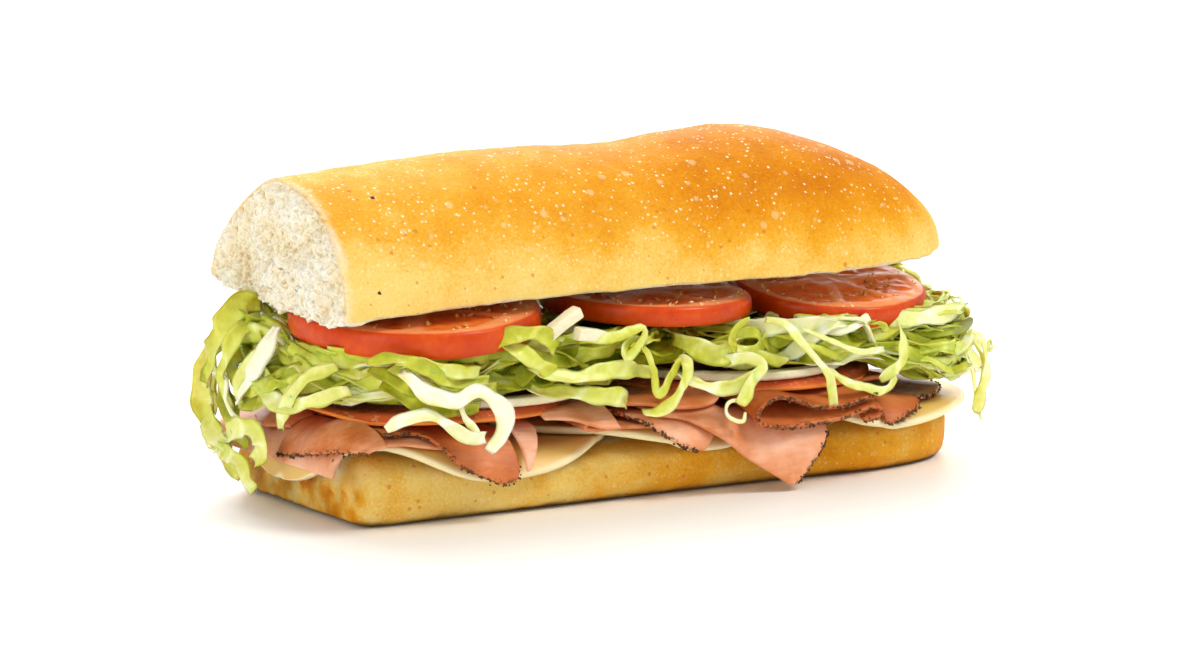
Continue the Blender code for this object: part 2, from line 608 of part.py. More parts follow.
    flat_slice("cured_left", (-58, -0.5), (38.5, 38.5),
               lambda x, y: 26.25 + 1.8 * smooth(-84, -95, x), CURED_THICKNESS, parts, cured_look)
    flat_slice("cured_right", (32, -0.5), (39, 38.5), lambda x, y: 26.1 + 0 * x,
               CURED_THICKNESS, parts, cured_look)
    onion_ring("onion_left", (-47, -9.5, 28.3), 29.5, 4.5, ONION_THICKNESS, parts, onion_look)
    onion_ring("onion_right", (29, -9.5, 28.3), 29.5, 4.5, ONION_THICKNESS, parts, onion_look)
    tomato("tomato_left", (-64, -12, 46.8), 31, 6.4, (0.035, 0.087), parts, tomato_look)
    tomato("tomato_middle", (2, -12, 46.2), 27, 5, (-0.026, 0.043), parts, tomato_look)
    tomato("tomato_right", (57.5, -12, 44.6), 26, 5.7, (0.003, 0.177), parts, tomato_look)
    onion_chip("onion_chip_left", (-38.5, -38.5, 46.3), (11.5, 3.2, 3.0), (0.1, -0.5, 0.1), parts, onion_look)
    onion_chip("onion_chip_right", (-31.5, -40.5, 43.2), (9, 3.2, 3.2), (0.1, 0.2, 0.1), parts, onion_look)
    lettuce_heap(parts, pieces, lettuce_look)
    return parts


if __name__ == "__main__":
    build()
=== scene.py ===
"""Half of a submarine sandwich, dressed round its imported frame.

X runs along the loaf from the cut end to the round end, minus Y is the side that
the fillings spill out of, and Z is up. Formulas work in millimetres, and meshes
are made in metres.
"""

import logging
import math
from dataclasses import dataclass, field
from enum import Enum
from typing import Callable

import bpy
import numpy as np
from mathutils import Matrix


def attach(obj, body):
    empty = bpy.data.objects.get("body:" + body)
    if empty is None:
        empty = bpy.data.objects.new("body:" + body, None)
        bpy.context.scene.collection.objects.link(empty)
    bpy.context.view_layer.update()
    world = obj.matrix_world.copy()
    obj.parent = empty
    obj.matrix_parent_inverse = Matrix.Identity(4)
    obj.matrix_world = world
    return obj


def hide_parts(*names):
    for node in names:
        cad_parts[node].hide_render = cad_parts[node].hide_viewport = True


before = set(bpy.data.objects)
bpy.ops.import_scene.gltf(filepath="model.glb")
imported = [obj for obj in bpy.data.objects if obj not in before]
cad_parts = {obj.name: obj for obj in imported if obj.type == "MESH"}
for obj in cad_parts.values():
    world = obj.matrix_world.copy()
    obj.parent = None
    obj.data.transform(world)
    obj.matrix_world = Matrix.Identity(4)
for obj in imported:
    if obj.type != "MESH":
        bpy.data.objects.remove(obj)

Array = np.ndarray
Height = Callable[[Array, Array], Array]
LOG = logging.getLogger("sandwich")
MM = 0.001
GAP = 0.3
DEEPEN = 1.1
BODY = "root"


class Slot(Enum):
    """The record's material slots."""

    CRUST = "crust"
    CHEESE = "cheese"
    HAM = "ham"
    CURED = "cured_meat"
    ONION = "onion"
    LETTUCE = "lettuce"
    TOMATO = "tomato"


# ---- numbers and curves ----


def smooth(low: float, high: float, value: Array) -> Array:
    """Rise from 0 at low to 1 at high with soft ends."""
    share = np.clip((np.asarray(value, float) - low) / (high - low), 0, 1)
    return share * share * (3 - 2 * share)


def bump(centre: float, half: float, value: Array) -> Array:
    """A soft hill: 1 at the centre, 0 from half away."""
    return smooth(half, 0, np.abs(np.asarray(value, float) - centre))


def curve_through(points: Array, count: int) -> Array:
    """Even steps along a smooth curve: each span blends cubically through its four nearest points."""
    points = np.array(points, float)
    ends = np.vstack([2 * points[0] - points[1], points, 2 * points[-1] - points[-2]])
    share = np.linspace(0, len(points) - 1 - 1e-9, 16 * len(points))
    start = share.astype(int)
    t = (share - start)[:, None]
    a, b, c, d = (ends[start + step] for step in range(4))
    fine = 0.5 * (2 * b + (c - a) * t + (2 * a - 5 * b + 4 * c - d) * t**2 + (3 * b - a - 3 * c + d) * t**3)
    run = np.concatenate([[0], np.cumsum(np.linalg.norm(np.diff(fine, axis=0), axis=1))])
    even = np.linspace(0, run[-1], count)
    return np.column_stack([np.interp(even, run, fine[:, axis]) for axis in range(fine.shape[1])])


def unit(vectors: Array) -> Array:
    """Vectors made one long."""
    return vectors / np.maximum(np.linalg.norm(vectors, axis=-1, keepdims=True), 1e-9)


def chance(cell: Array, seed: int) -> Array:
    """A fixed random number from 0 to 1 for each whole-number cell."""
    key = cell.astype(np.int64) @ np.array([73856093, 19349663, 83492791]) + seed * 7919
    key = (key ^ (key >> 13)) * 1274126177 & 0x7FFFFFFF
    key = (key ^ (key >> 15)) * 668265263 & 0x7FFFFFFF
    return key / 0x7FFFFFFF


def noise(points: Array, size: float, seed: int, octaves: int = 2) -> Array:
    """Soft noise from -1 to 1: random values at the corners of cubes, blended between them, in octaves."""
    total, weight = 0.0, 1.0
    for octave in range(octaves):
        place = points / size + 31.7 * seed
        base = np.floor(place)
        part = place - base
        part = part * part * (3 - 2 * part)
        for corner in np.ndindex(2, 2, 2):
            share = np.prod(np.where(corner, part, 1 - part), axis=-1)
            total = total + weight * share * (2 * chance(base + corner, seed + octave) - 1)
        size, weight = size / 2, weight / 2
    return total


def pores(points: Array, size: float, seed: int) -> Array:
    """Distance to the nearest of points strewn one a cube, in cubes: low in a pore's middle."""
    place = points / size
    base = np.floor(place)
    nearest = np.full(points.shape[:-1], 9.0)
    for corner in np.ndindex(3, 3, 3):
        cell = base + np.array(corner) - 1
        spot = cell + np.stack([chance(cell, seed + axis) for axis in range(3)], -1)
        nearest = np.minimum(nearest, np.linalg.norm(place - spot, axis=-1))
    return nearest


# ---- meshes ----


@dataclass
class Skin:
    """A closed surface in the making.

    Attributes:
        corners: places in millimetres.
        faces: index rows, four a face, with the last repeated where the face is a triangle.
        values: a number a corner for each name that a finish reads.
        faceted: true where the faces stay flat.
    """

    corners: Array
    faces: Array
    values: dict[str, Array] = field(default_factory=dict)
    faceted: bool = False

    def outward(self) -> "Skin":
        """Turn the faces out where the signed volume says that they face in."""
        a, b, c, d = (self.corners[self.faces[:, step]] for step in range(4))
        volume = np.einsum("ij,ij->", a, np.cross(b, c)) + np.einsum("ij,ij->", a, np.cross(c, d))
        if volume < 0:
            self.faces = np.where(
                (self.faces[:, 2] == self.faces[:, 3])[:, None], self.faces[:, [0, 2, 1, 1]], self.faces[:, ::-1]
            )
        return self

    @staticmethod
    def joined(skins: list["Skin"]) -> "Skin":
        """Several surfaces as one mesh, with every named value on each."""
        names = sorted({name for skin in skins for name in skin.values})
        starts = np.cumsum([0] + [len(skin.corners) for skin in skins[:-1]])
        return Skin(
            np.vstack([skin.corners for skin in skins]),
            np.vstack([skin.faces + start for skin, start in zip(skins, starts)]),
            {n: np.concatenate([s.values.get(n, np.zeros(len(s.corners))) for s in skins]) for n in names},
        )

    def show(self, name: str, finish: bpy.types.Material, slot: Slot, replaces: tuple[str, ...] = ()) -> None:
        """Make the Blender object, ride it on the body and hide the CAD nodes that it stands for.

        Args:
            name: the piece's name.
            finish: its material.
            slot: the record's slot that it takes its finish from; not used.
            replaces: CAD nodes that it stands for.
        """
        corners = self.faces.shape[1] * np.ones(len(self.faces), int) - (self.faces[:, 2] == self.faces[:, 3])
        keep = np.ones(self.faces.shape, bool)
        keep[:, 3] = corners == 4
        loops = self.faces[keep]
        mesh = bpy.data.meshes.new(name)
        mesh.vertices.add(len(self.corners))
        mesh.vertices.foreach_set("co", (self.corners * MM).astype(np.float32).ravel())
        mesh.loops.add(len(loops))
        mesh.loops.foreach_set("vertex_index", loops.astype(np.int32))
        mesh.polygons.add(len(corners))
        mesh.polygons.foreach_set("loop_start", np.concatenate([[0], np.cumsum(corners)[:-1]]).astype(np.int32))
        mesh.update(calc_edges=True)
        if not self.faceted:
            mesh.shade_smooth()
        for key, numbers in self.values.items():
            layer = mesh.attributes.new(key, "FLOAT", "POINT")
            layer.data.foreach_set("value", numbers.astype(np.float32))
        mesh.materials.append(finish)
        piece = bpy.data.objects.new(name, mesh)
        bpy.context.scene.collection.objects.link(piece)
        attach(piece, BODY)
        if replaces:
            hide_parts(*replaces)
        LOG.info("%s: %d faces", name, len(corners))


def quads(rows: int, columns: int, wrap: bool = False) -> Array:
    """Faces of a grid of corners, counted row by row, closed round its columns where wrap is true."""
    down = np.arange(rows - 1)[:, None]
    across = np.arange(columns if wrap else columns - 1)[None, :]
    after = (across + 1) % columns
    corner = [down * columns + across, down * columns + after, (down + 1) * columns + after,
              (down + 1) * columns + across]
    return np.stack(np.broadcast_arrays(*corner), -1).reshape(-1, 4)


def capsule(rings: Array, values: dict[str, Array]) -> Skin:
    """A skin of rings, its first and last ring drawn together in one corner each."""
    rows, around = rings.shape[:2]
    inner = rings[1:-1].reshape(-1, 3)
    poles = rings[[0, -1]].mean(axis=1)
    faces = quads(rows - 2, around, wrap=True)
    step = np.arange(around)
    after = (step + 1) % around
    first, last = len(inner), len(inner) + 1
    base = (rows - 3) * around
    start = np.stack([np.full(around, first), after, step, step], -1)
    end = np.stack([np.full(around, last), base + step, base + after, base + after], -1)
    kept = {
        name: np.concatenate([number[1:-1].ravel(), number[[0, -1]].mean(axis=1)]) for name, number in values.items()
    }
    return Skin(np.vstack([inner, poles]), np.vstack([faces, start, end]), kept).outward()


def thick(grid: Array, thickness: float | Array, values: dict[str, Array] | None = None) -> Skin:
    """A sheet with rounded rims from its middle surface.

    Both faces stand half the thickness off the grid along its normals. Near the rim
    the half thickness follows a quarter circle down to nothing, so the faces meet.
    The value "rim" gives each corner's distance from the sheet's rim.

    Args:
        grid: rows by columns of places.
        thickness: in millimetres, one number or one a corner.
        values: more numbers a corner, by name.

    Returns:
        The closed skin.
    """
    rows, columns = grid.shape[:2]
    normal = unit(np.cross(np.gradient(grid, axis=0), np.gradient(grid, axis=1)))
    down = np.zeros((rows, columns))
    down[1:] = np.cumsum(np.linalg.norm(np.diff(grid, axis=0), axis=-1), axis=0)
    across = np.zeros((rows, columns))
    across[:, 1:] = np.cumsum(np.linalg.norm(np.diff(grid, axis=1), axis=-1), axis=1)
    rim = np.minimum(np.minimum(down, down[-1] - down), np.minimum(across, across[:, -1:] - across))
    half = np.asarray(thickness) / 2
    share = np.clip(rim / half, 0, 1)
    lift = (half * np.sqrt(1 - (1 - share) ** 2))[..., None] * normal
    inside = np.zeros((rows, columns), bool)
    inside[1:-1, 1:-1] = True
    under = np.arange(rows * columns)
    under[inside.ravel()] = rows * columns + np.arange(inside.sum())
    faces = quads(rows, columns)
    corners = np.vstack([(grid + lift).reshape(-1, 3), (grid - lift)[inside]])
    kept = {"rim": rim, **(values or {})}
    kept = {n: np.broadcast_to(v, (rows, columns)) for n, v in kept.items()}
    kept = {name: np.concatenate([number.ravel(), number[inside]]) for name, number in kept.items()}
    return Skin(corners, np.vstack([faces, under[faces][:, ::-1]]), kept).outward()


def shares(count: int, length: float, thickness: float) -> Array:
    """Even shares from 0 to 1 with a few close ones at both ends for a rounded rim."""
    near = np.array([0, 0.15, 0.5, 1.0]) * thickness / 2 / length
    middle = np.linspace(2 * near[-1], 1 - 2 * near[-1], count)
    return np.concatenate([near, middle, 1 - near[::-1]])


# ---- shaders ----


class Value:
    """A shader socket that takes part in sums."""

    def __init__(self, tree: bpy.types.NodeTree, socket: bpy.types.NodeSocket) -> None:
        self.tree = tree
        self.socket = socket

    def _math(self, operation: str, *inputs: "Value | float") -> "Value":
        item = self.tree.nodes.new("ShaderNodeMath")
        item.operation = operation
        for place, value in zip(item.inputs, inputs):
            if isinstance(value, Value):
                self.tree.links.new(value.socket, place)
            else:
                place.default_value = value
        return Value(self.tree, item.outputs[0])

    def __add__(self, other: "Value | float") -> "Value":
        return self._math("ADD", self, other)

    def __mul__(self, other: "Value | float") -> "Value":
        return self._math("MULTIPLY", self, other)

    def __sub__(self, other: "Value | float") -> "Value":
        return self._math("SUBTRACT", self, other)

    def __rsub__(self, other: float) -> "Value":
        return self._math("SUBTRACT", other, self)

    def __truediv__(self, other: "Value | float") -> "Value":
        return self._math("DIVIDE", self, other)

    __radd__ = __add__
    __rmul__ = __mul__

    def above(self, other: float) -> "Value":
        """1 where this is above a number, else 0."""
        return self._math("GREATER_THAN", self, other)

    def ramp(self, low: float, high: float) -> "Value":
        """Rise from 0 at low to 1 at high with soft ends, or fall where low is the larger."""
        item = self.tree.nodes.new("ShaderNodeMapRange")
        item.interpolation_type = "SMOOTHSTEP"
        flip = low > high
        self.tree.links.new(self.socket, item.inputs[0])
        item.inputs[1].default_value, item.inputs[2].default_value = min(low, high), max(low, high)
        item.inputs[3].default_value, item.inputs[4].default_value = (1, 0) if flip else (0, 1)
        return Value(self.tree, item.outputs[0])


def colour(red: int, green: int, blue: int) -> tuple[float, float, float, float]:
    """A seen colour from 0 to 255 as the linear colour that shaders take, deepened for the soft film response."""
    parts = [c / 255 for c in (red, green, blue)]
    line = [(c / 12.92 if c <= 0.04045 else ((c + 0.055) / 1.055) ** 2.4) ** DEEPEN for c in parts]
    return (*line, 1.0)


Tint = tuple[float, float, float, float]


class Shader:
    """A material in the making: a Principled shader and the nodes that feed it."""

    def __init__(self, name: str, **constants: float | tuple) -> None:
        self.material = bpy.data.materials.new(name)
        self.material.use_nodes = True
        self.tree = self.material.node_tree
        self.surface = self.tree.nodes["Principled BSDF"]
        for key, value in constants.items():
            self.surface.inputs[key.replace("_", " ")].default_value = value

    def node(self, kind: str, settings: dict, inputs: dict, output: str | int = 0) -> Value:
        """Any node, with its settings and its inputs by name or number, as values or links."""
        item = self.tree.nodes.new(kind)
        for key, value in settings.items():
            setattr(item, key, value)
        for key, value in inputs.items():
            if isinstance(value, Value):
                self.tree.links.new(value.socket, item.inputs[key])
            else:
                item.inputs[key].default_value = value
        return Value(self.tree, item.outputs[output])

    def place(self) -> Value:
        """The object's own coordinates."""
        return self.node("ShaderNodeTexCoord", {}, {}, "Object")

    def read(self, name: str) -> Value:
        """A value stored on the mesh."""
        return self.node("ShaderNodeAttribute", {"attribute_name": name}, {}, "Fac")

    def cloud(self, size: float, detail: float = 2.0, stretch: tuple[float, float, float] = (1, 1, 1)) -> Value:
        """Noise round 0.5 with lumps of about a size in millimetres, longer where stretch is low."""
        spread = self.node("ShaderNodeMapping", {"vector_type": "POINT"}, {"Vector": self.place(), "Scale": stretch})
        return self.node("ShaderNodeTexNoise", {}, {"Vector": spread, "Scale": 1 / (size * MM), "Detail": detail})

    def dots(self, spacing: float, radius: float, share: float) -> Value:
        """Round dots: 1 in each dot. One cell in share of the cells, a spacing apart, holds one."""
        inputs = {"Vector": self.place(), "Scale": 1 / (spacing * MM)}
        item = self.node("ShaderNodeTexVoronoi", {}, inputs, "Distance")
        parts = self.node("ShaderNodeSeparateColor", {}, {0: Value(self.tree, item.socket.node.outputs["Color"])})
        size = Value(self.tree, parts.socket.node.outputs[1])
        edge = size * (radius / spacing) + 0.3 * radius / spacing
        inside = (edge - item) * (spacing / radius)
        return inside.ramp(0.0, 0.5) * parts.above(1 - share)

    def mix(self, share: Value | float, first: Value | Tint, second: Value | Tint) -> Value:
        """Blend two colours."""
        settings = {"data_type": "RGBA", "blend_type": "MIX"}
        return self.node("ShaderNodeMix", settings, {0: share, 6: first, 7: second}, 2)

    def ladder(self, share: Value, steps: list[tuple[float, Tint]]) -> Value:
        """A colour ramp."""
        item = self.node("ShaderNodeValToRGB", {}, {0: share})
        ramp = item.socket.node.color_ramp
        for stop, (place, tint) in zip([ramp.elements[0], ramp.elements[1]], [steps[0], steps[-1]]):
            stop.position, stop.color = place, tint
        for place, tint in steps[1:-1]:
            ramp.elements.new(place).color = tint
        return item

    def finish(self, tint: Value, rough: Value | float, relief: Value | None, depth: float = 0.3) -> bpy.types.Material:
        """Wire colour, roughness and relief into the surface.

        Args:
            tint: the base colour.
            rough: roughness, as a value over the surface or one number.
            relief: height from 0 to 1, or None for a surface with no relief of its own.
            depth: the relief's full height in millimetres.
        """
        self.tree.links.new(tint.socket, self.surface.inputs["Base Color"])
        if isinstance(rough, Value):
            self.tree.links.new(rough.socket, self.surface.inputs["Roughness"])
        else:
            self.surface.inputs["Roughness"].default_value = rough
        if relief is not None:
            raised = self.node("ShaderNodeBump", {}, {"Height": relief, "Distance": depth * MM, "Strength": 1.0})
            self.tree.links.new(raised.socket, self.surface.inputs["Normal"])
        return self.material


def bread_finish() -> bpy.types.Material:
    """Baked crust with pale blisters, and open crumb where the value "crumb" is 1.

    The crust value runs from pale to deep brown with baking, and with painted shade at the lower bread's cut end.
    The burn value darkens the crust near the table and adds painted mottled shade on that cut end, and the
    pocket value is high in the crumb's pockets, where the crumb is painted tan as shade.
    """
    s = Shader("bread", Subsurface_Weight=0.08, Subsurface_Scale=0.002, Specular_IOR_Level=0.06)
    patches, grain = s.cloud(9, 3), s.cloud(0.7, 3)
    # Crust colour from baking, and painted shade where the lower bread's cut end is darkened.
    bake = s.read("bake") + (patches - 0.5) * 0.45 + (grain - 0.5) * 0.45
    crust = s.ladder(bake, [
        (0.0, colour(238, 218, 150)), (0.25, colour(234, 204, 118)), (0.5, colour(229, 172, 54)),
        (0.75, colour(218, 146, 14)), (1.0, colour(198, 118, 4))])
    freckles = s.dots(2.6, 0.6, 0.3)
    crust = s.mix(freckles * 0.55, crust, colour(200, 108, 24))
    speck = s.read("speck")
    blisters = s.dots(1.35, 0.42, 0.72) * speck
    bubbles = s.dots(4, 1.2, 0.5) * speck
    crust = s.mix(blisters * 0.8 + bubbles * 0.3, crust, colour(253, 238, 196))
    # Dark brown where the crust is burnt near the table, and painted shade on the lower bread's cut end.
    crust = s.mix(s.read("burn"), crust, colour(92, 56, 20))
    # The crumb turns tan in its pockets: painted shade in the hollows.
    deep = s.read("deep") + (s.cloud(0.8, 3) - 0.5) * 0.6
    crumb = s.ladder(deep, [(0.0, colour(255, 253, 240)), (0.45, colour(250, 238, 206)), (1.0, colour(208, 174, 118))])
    inside = s.read("crumb")
    tint = s.mix(inside, crust, crumb)
    relief = (1 - inside) * (blisters * 0.5 + bubbles * 0.6 + s.cloud(1.4, 4) * 0.8) + inside * s.cloud(0.9, 4) * 4.5
    return s.finish(tint, s.cloud(5) * 0.2 + 0.42 + inside * 0.3, relief, 0.3)


def cheese_finish() -> bpy.types.Material:
    """Pale sliced cheese: its faces are painted deeper in colour than its cut rim, as shade under the layers above."""
    s = Shader("cheese", Subsurface_Weight=0.2, Subsurface_Scale=0.003)
    rim = s.read("rim").ramp(2.2, 0.6)
    # The faces' deeper yellow is painted shade; the paler rim colour is the cheese's own.
    face = s.mix(s.cloud(12), colour(238, 208, 130), colour(230, 190, 104))
    tint = s.mix(rim, face, colour(246, 234, 190))
    return s.finish(tint, s.cloud(4) * 0.15 + 0.36, s.cloud(1.5, 3), 0.06)


def ham_finish() -> bpy.types.Material:
    """Moist sliced ham: pink to orange-brown by "tone", its fibres fine, its rim peppered by "crust"."""
    s = Shader("ham", Subsurface_Weight=0.12, Subsurface_Scale=0.002, Specular_IOR_Level=0.35)
    fibres = s.cloud(1.2, 4, (0.25, 1, 1))
    tone = s.read("tone") + (s.cloud(7, 3) - 0.5) * 0.9 + (fibres - 0.5) * 0.35
    tint = s.ladder(tone, [
        (0.0, colour(242, 192, 164)), (0.3, colour(232, 164, 122)), (0.6, colour(212, 128, 72)),
        (1.0, colour(184, 94, 38))])
    rim = s.read("rim").ramp(1.6, 0.1)
    crusted = s.read("crust") * rim
    tint = s.mix(crusted * s.cloud(1.1, 2).ramp(0.5, 0.62) * 0.8, tint, colour(90, 56, 24))
    specks = s.dots(4.5, 0.42, 0.3)
    tint = s.mix(specks * 0.85, tint, colour(92, 42, 20))
    return s.finish(tint, s.cloud(3) * 0.25 + 0.34, fibres + crusted * 0.25, 0.16)


def cured_finish() -> bpy.types.Material:
    """Thin cured meat: marbled red with an orange rim."""
    s = Shader("cured", Subsurface_Weight=0.1, Subsurface_Scale=0.002, Specular_IOR_Level=0.15)
    fat = s.cloud(1.6, 2).ramp(0.56, 0.66)
    tint = s.mix(fat * 0.6, colour(222, 112, 68), colour(244, 186, 140))
    tint = s.mix(s.read("rim").ramp(1.4, 0.2), tint, colour(232, 142, 66))
    return s.finish(tint, s.cloud(3) * 0.2 + 0.4, s.cloud(1.2, 3), 0.12)


def tomato_finish() -> bpy.types.Material:
    """Wet tomato: red-orange skin on the side, paler flesh, and darker gel in the seed chambers."""
    s = Shader("tomato", Subsurface_Weight=0.15, Subsurface_Scale=0.003, Specular_IOR_Level=0.25)
    streaks = s.cloud(2.0, 3)
    skin = s.ladder(s.cloud(9) * 0.6 + streaks * 0.4, [
        (0.3, colour(196, 62, 6)), (0.55, colour(210, 80, 12)), (0.75, colour(220, 104, 30))])
    flesh = s.mix(streaks, colour(246, 132, 66), colour(255, 190, 130))
    gel = s.mix(streaks, colour(232, 96, 28), colour(250, 154, 66))
    face = s.mix(s.read("gel"), flesh, gel)
    tint = s.mix(s.read("skin"), face, skin)
    # Paler along the faces' rounded edge: a painted highlight where the rim catches the light.
    tint = s.mix(s.read("ridge") * 0.6, tint, colour(236, 134, 84))
    return s.finish(tint, s.cloud(3) * 0.15 + 0.24, streaks, 0.1)


def onion_finish() -> bpy.types.Material:
    """White onion with faint layers, a little clear."""
    s = Shader("onion", Subsurface_Weight=0.3, Subsurface_Scale=0.004, Specular_IOR_Level=0.4)
    tint = s.mix(s.cloud(1.4, 3, (1, 1, 4)), colour(250, 246, 226), colour(228, 218, 176))
    return s.finish(tint, s.cloud(2) * 0.15 + 0.22, s.cloud(1.0, 3, (1, 1, 4)), 0.06)


def lettuce_finish(name: str, shine: float) -> bpy.types.Material:
    """Crisp lettuce: green to white by "tone", with paler veins where "vein" is high."""
    s = Shader(name, Subsurface_Weight=0.3, Subsurface_Scale=0.002, Specular_IOR_Level=shine)
    mottle = s.cloud(2.2, 3)
    tone = s.read("tone") + (mottle - 0.5) * 0.34 + s.read("vein") * 0.22
    tint = s.ladder(tone, [
        (0.0, colour(120, 128, 18)), (0.25, colour(172, 182, 34)), (0.5, colour(210, 216, 82)),
        (0.75, colour(234, 236, 160)), (1.0, colour(250, 248, 226))])
    return s.finish(tint, s.cloud(2) * 0.2 + 0.26, s.cloud(1.1, 3) * 0.6 + s.read("vein") * 0.5, 0.22)


def speck_finish(name: str, first: Tint, second: Tint, rough: float) -> bpy.types.Material:
    """Small hard bits, two colours mixed by noise."""
    s = Shader(name)
    return s.finish(s.mix(s.cloud(0.9, 2).ramp(0.35, 0.65), first, second), rough, s.cloud(0.4), 0.05)


# ---- the bread and the surface that the fillings lie on ----

BREAD_EDGE = 30.0
BREAD_END = 85.5
BEND_RADIUS = 7.0
HANG_ANGLE = math.radians(80)
HALF_WIDTH = 35.0
BASE_HALF_WIDTH = 34.5


def lower_bread_top(x: Array) -> Array:
    """Height of the lower bread's cut face, which lifts towards the cut end."""
    return 14 + 4 * smooth(-38, -92, x)


def loaf_bend(x: Array) -> Array:
    """How far the loaf curves forward along its length."""
    return -3.5 * smooth(0, 95, x)


def past_edge(distance: Array) -> tuple[Array, Array]:
    """How far a layer goes out and down past the bread's edge: round an arc, then straight."""
    bent = np.minimum(distance, BEND_RADIUS * HANG_ANGLE) / BEND_RADIUS
    hung = np.maximum(distance - BEND_RADIUS * HANG_ANGLE, 0)
    out = BEND_RADIUS * np.sin(bent) + hung * math.cos(HANG_ANGLE)
    down = BEND_RADIUS * (1 - np.cos(bent)) + hung * math.sin(HANG_ANGLE)
    return out, down


def bread_surface(u: Array, v: Array) -> Array:
    """The face that the fillings lie on, bent down past the bread's edges."""
    u, v = np.broadcast_arrays(np.asarray(u, float), np.asarray(v, float))
    out, down = past_edge(np.maximum(np.abs(v) - BREAD_EDGE, 0))
    end_out, end_down = past_edge(np.maximum(-u - BREAD_END, 0))
    x = np.where(u < -BREAD_END, -BREAD_END - end_out, u)
    y = np.sign(v) * (np.minimum(np.abs(v), BREAD_EDGE) + out) + loaf_bend(u)
    return np.stack([x, y, lower_bread_top(u) - down - end_down], -1)


def lay(u: Array, v: Array, height: Array) -> Array:
    """A point of a layer: the surface point moved along its normal by the layer's height."""
    step = 0.05
    slope_u = bread_surface(u + step, v) - bread_surface(u - step, v)
    slope_v = bread_surface(u, v + step) - bread_surface(u, v - step)
    return bread_surface(u, v) + unit(np.cross(slope_u, slope_v)) * np.asarray(height)[..., None]


def cheese_top(u: Array) -> Array:
    """Height of the cheese above the bread: two slices deep where they overlap."""
    first = smooth(-48, -43, u) * smooth(2.5, -5.5, u)
    second = smooth(17, 22, u) * smooth(63, 55, u)
    return 2 * GAP + 1.8 + (2 * GAP + 1.8) * (first + second)


def hang(fixed: Array, height: Array, target: Array, along_end: bool) -> Array:
    """Where a layer has come down to a target height, over the front edge or the cut end."""
    start = BREAD_END - 3 if along_end else BREAD_EDGE - 4
    trial = -np.linspace(start, start + 30, 151)[None, :] + 0 * fixed[:, None]
    still = fixed[:, None] + 0 * trial
    places = lay(trial, still, height[:, None] + 0 * trial) if along_end else lay(
        still, trial, height[:, None] + 0 * trial)
    return np.array([np.interp(-z, -drop, line) for z, drop, line in zip(target, places[..., 2], trial)])


def egg(turn: Array, front: Array, back: Array, up: Array, down: Array, powers: tuple[float, float, float]) -> Array:
    """An egg-shaped section: each quarter |y/half|^p + |z/height|^p = 1 has its own width, height and fullness."""
    cos, sin = np.cos(turn), np.sin(turn)
    upper = sin >= 0
    power = np.where(upper, np.where(cos < 0, powers[0], powers[1]), powers[2])
    y = np.sign(cos) * np.where(cos < 0, front, back) * np.abs(cos) ** (2 / power)
    z = np.sign(sin) * np.where(upper, up, down) * np.abs(sin) ** (2 / power)
    return np.stack([y, z], -1)


def nose(x: Array, start: float, end: float, power: float) -> Array:
    """Share of the full width that is left along a round end."""
    share = np.clip((x - start) / (end - start), 0, 1)
    return (1 - share**power) ** (1 / power)


def even_turns(count: int, section: Callable[[Array], Array]) -> Array:
    """Turns that lie evenly spaced along a closed section."""
    fine = np.linspace(0, 2 * np.pi, 2001)
    run = np.concatenate([[0], np.cumsum(np.linalg.norm(np.diff(section(fine), axis=0), axis=1))])
    return np.interp(np.linspace(0, run[-1], count, endpoint=False), run, fine)


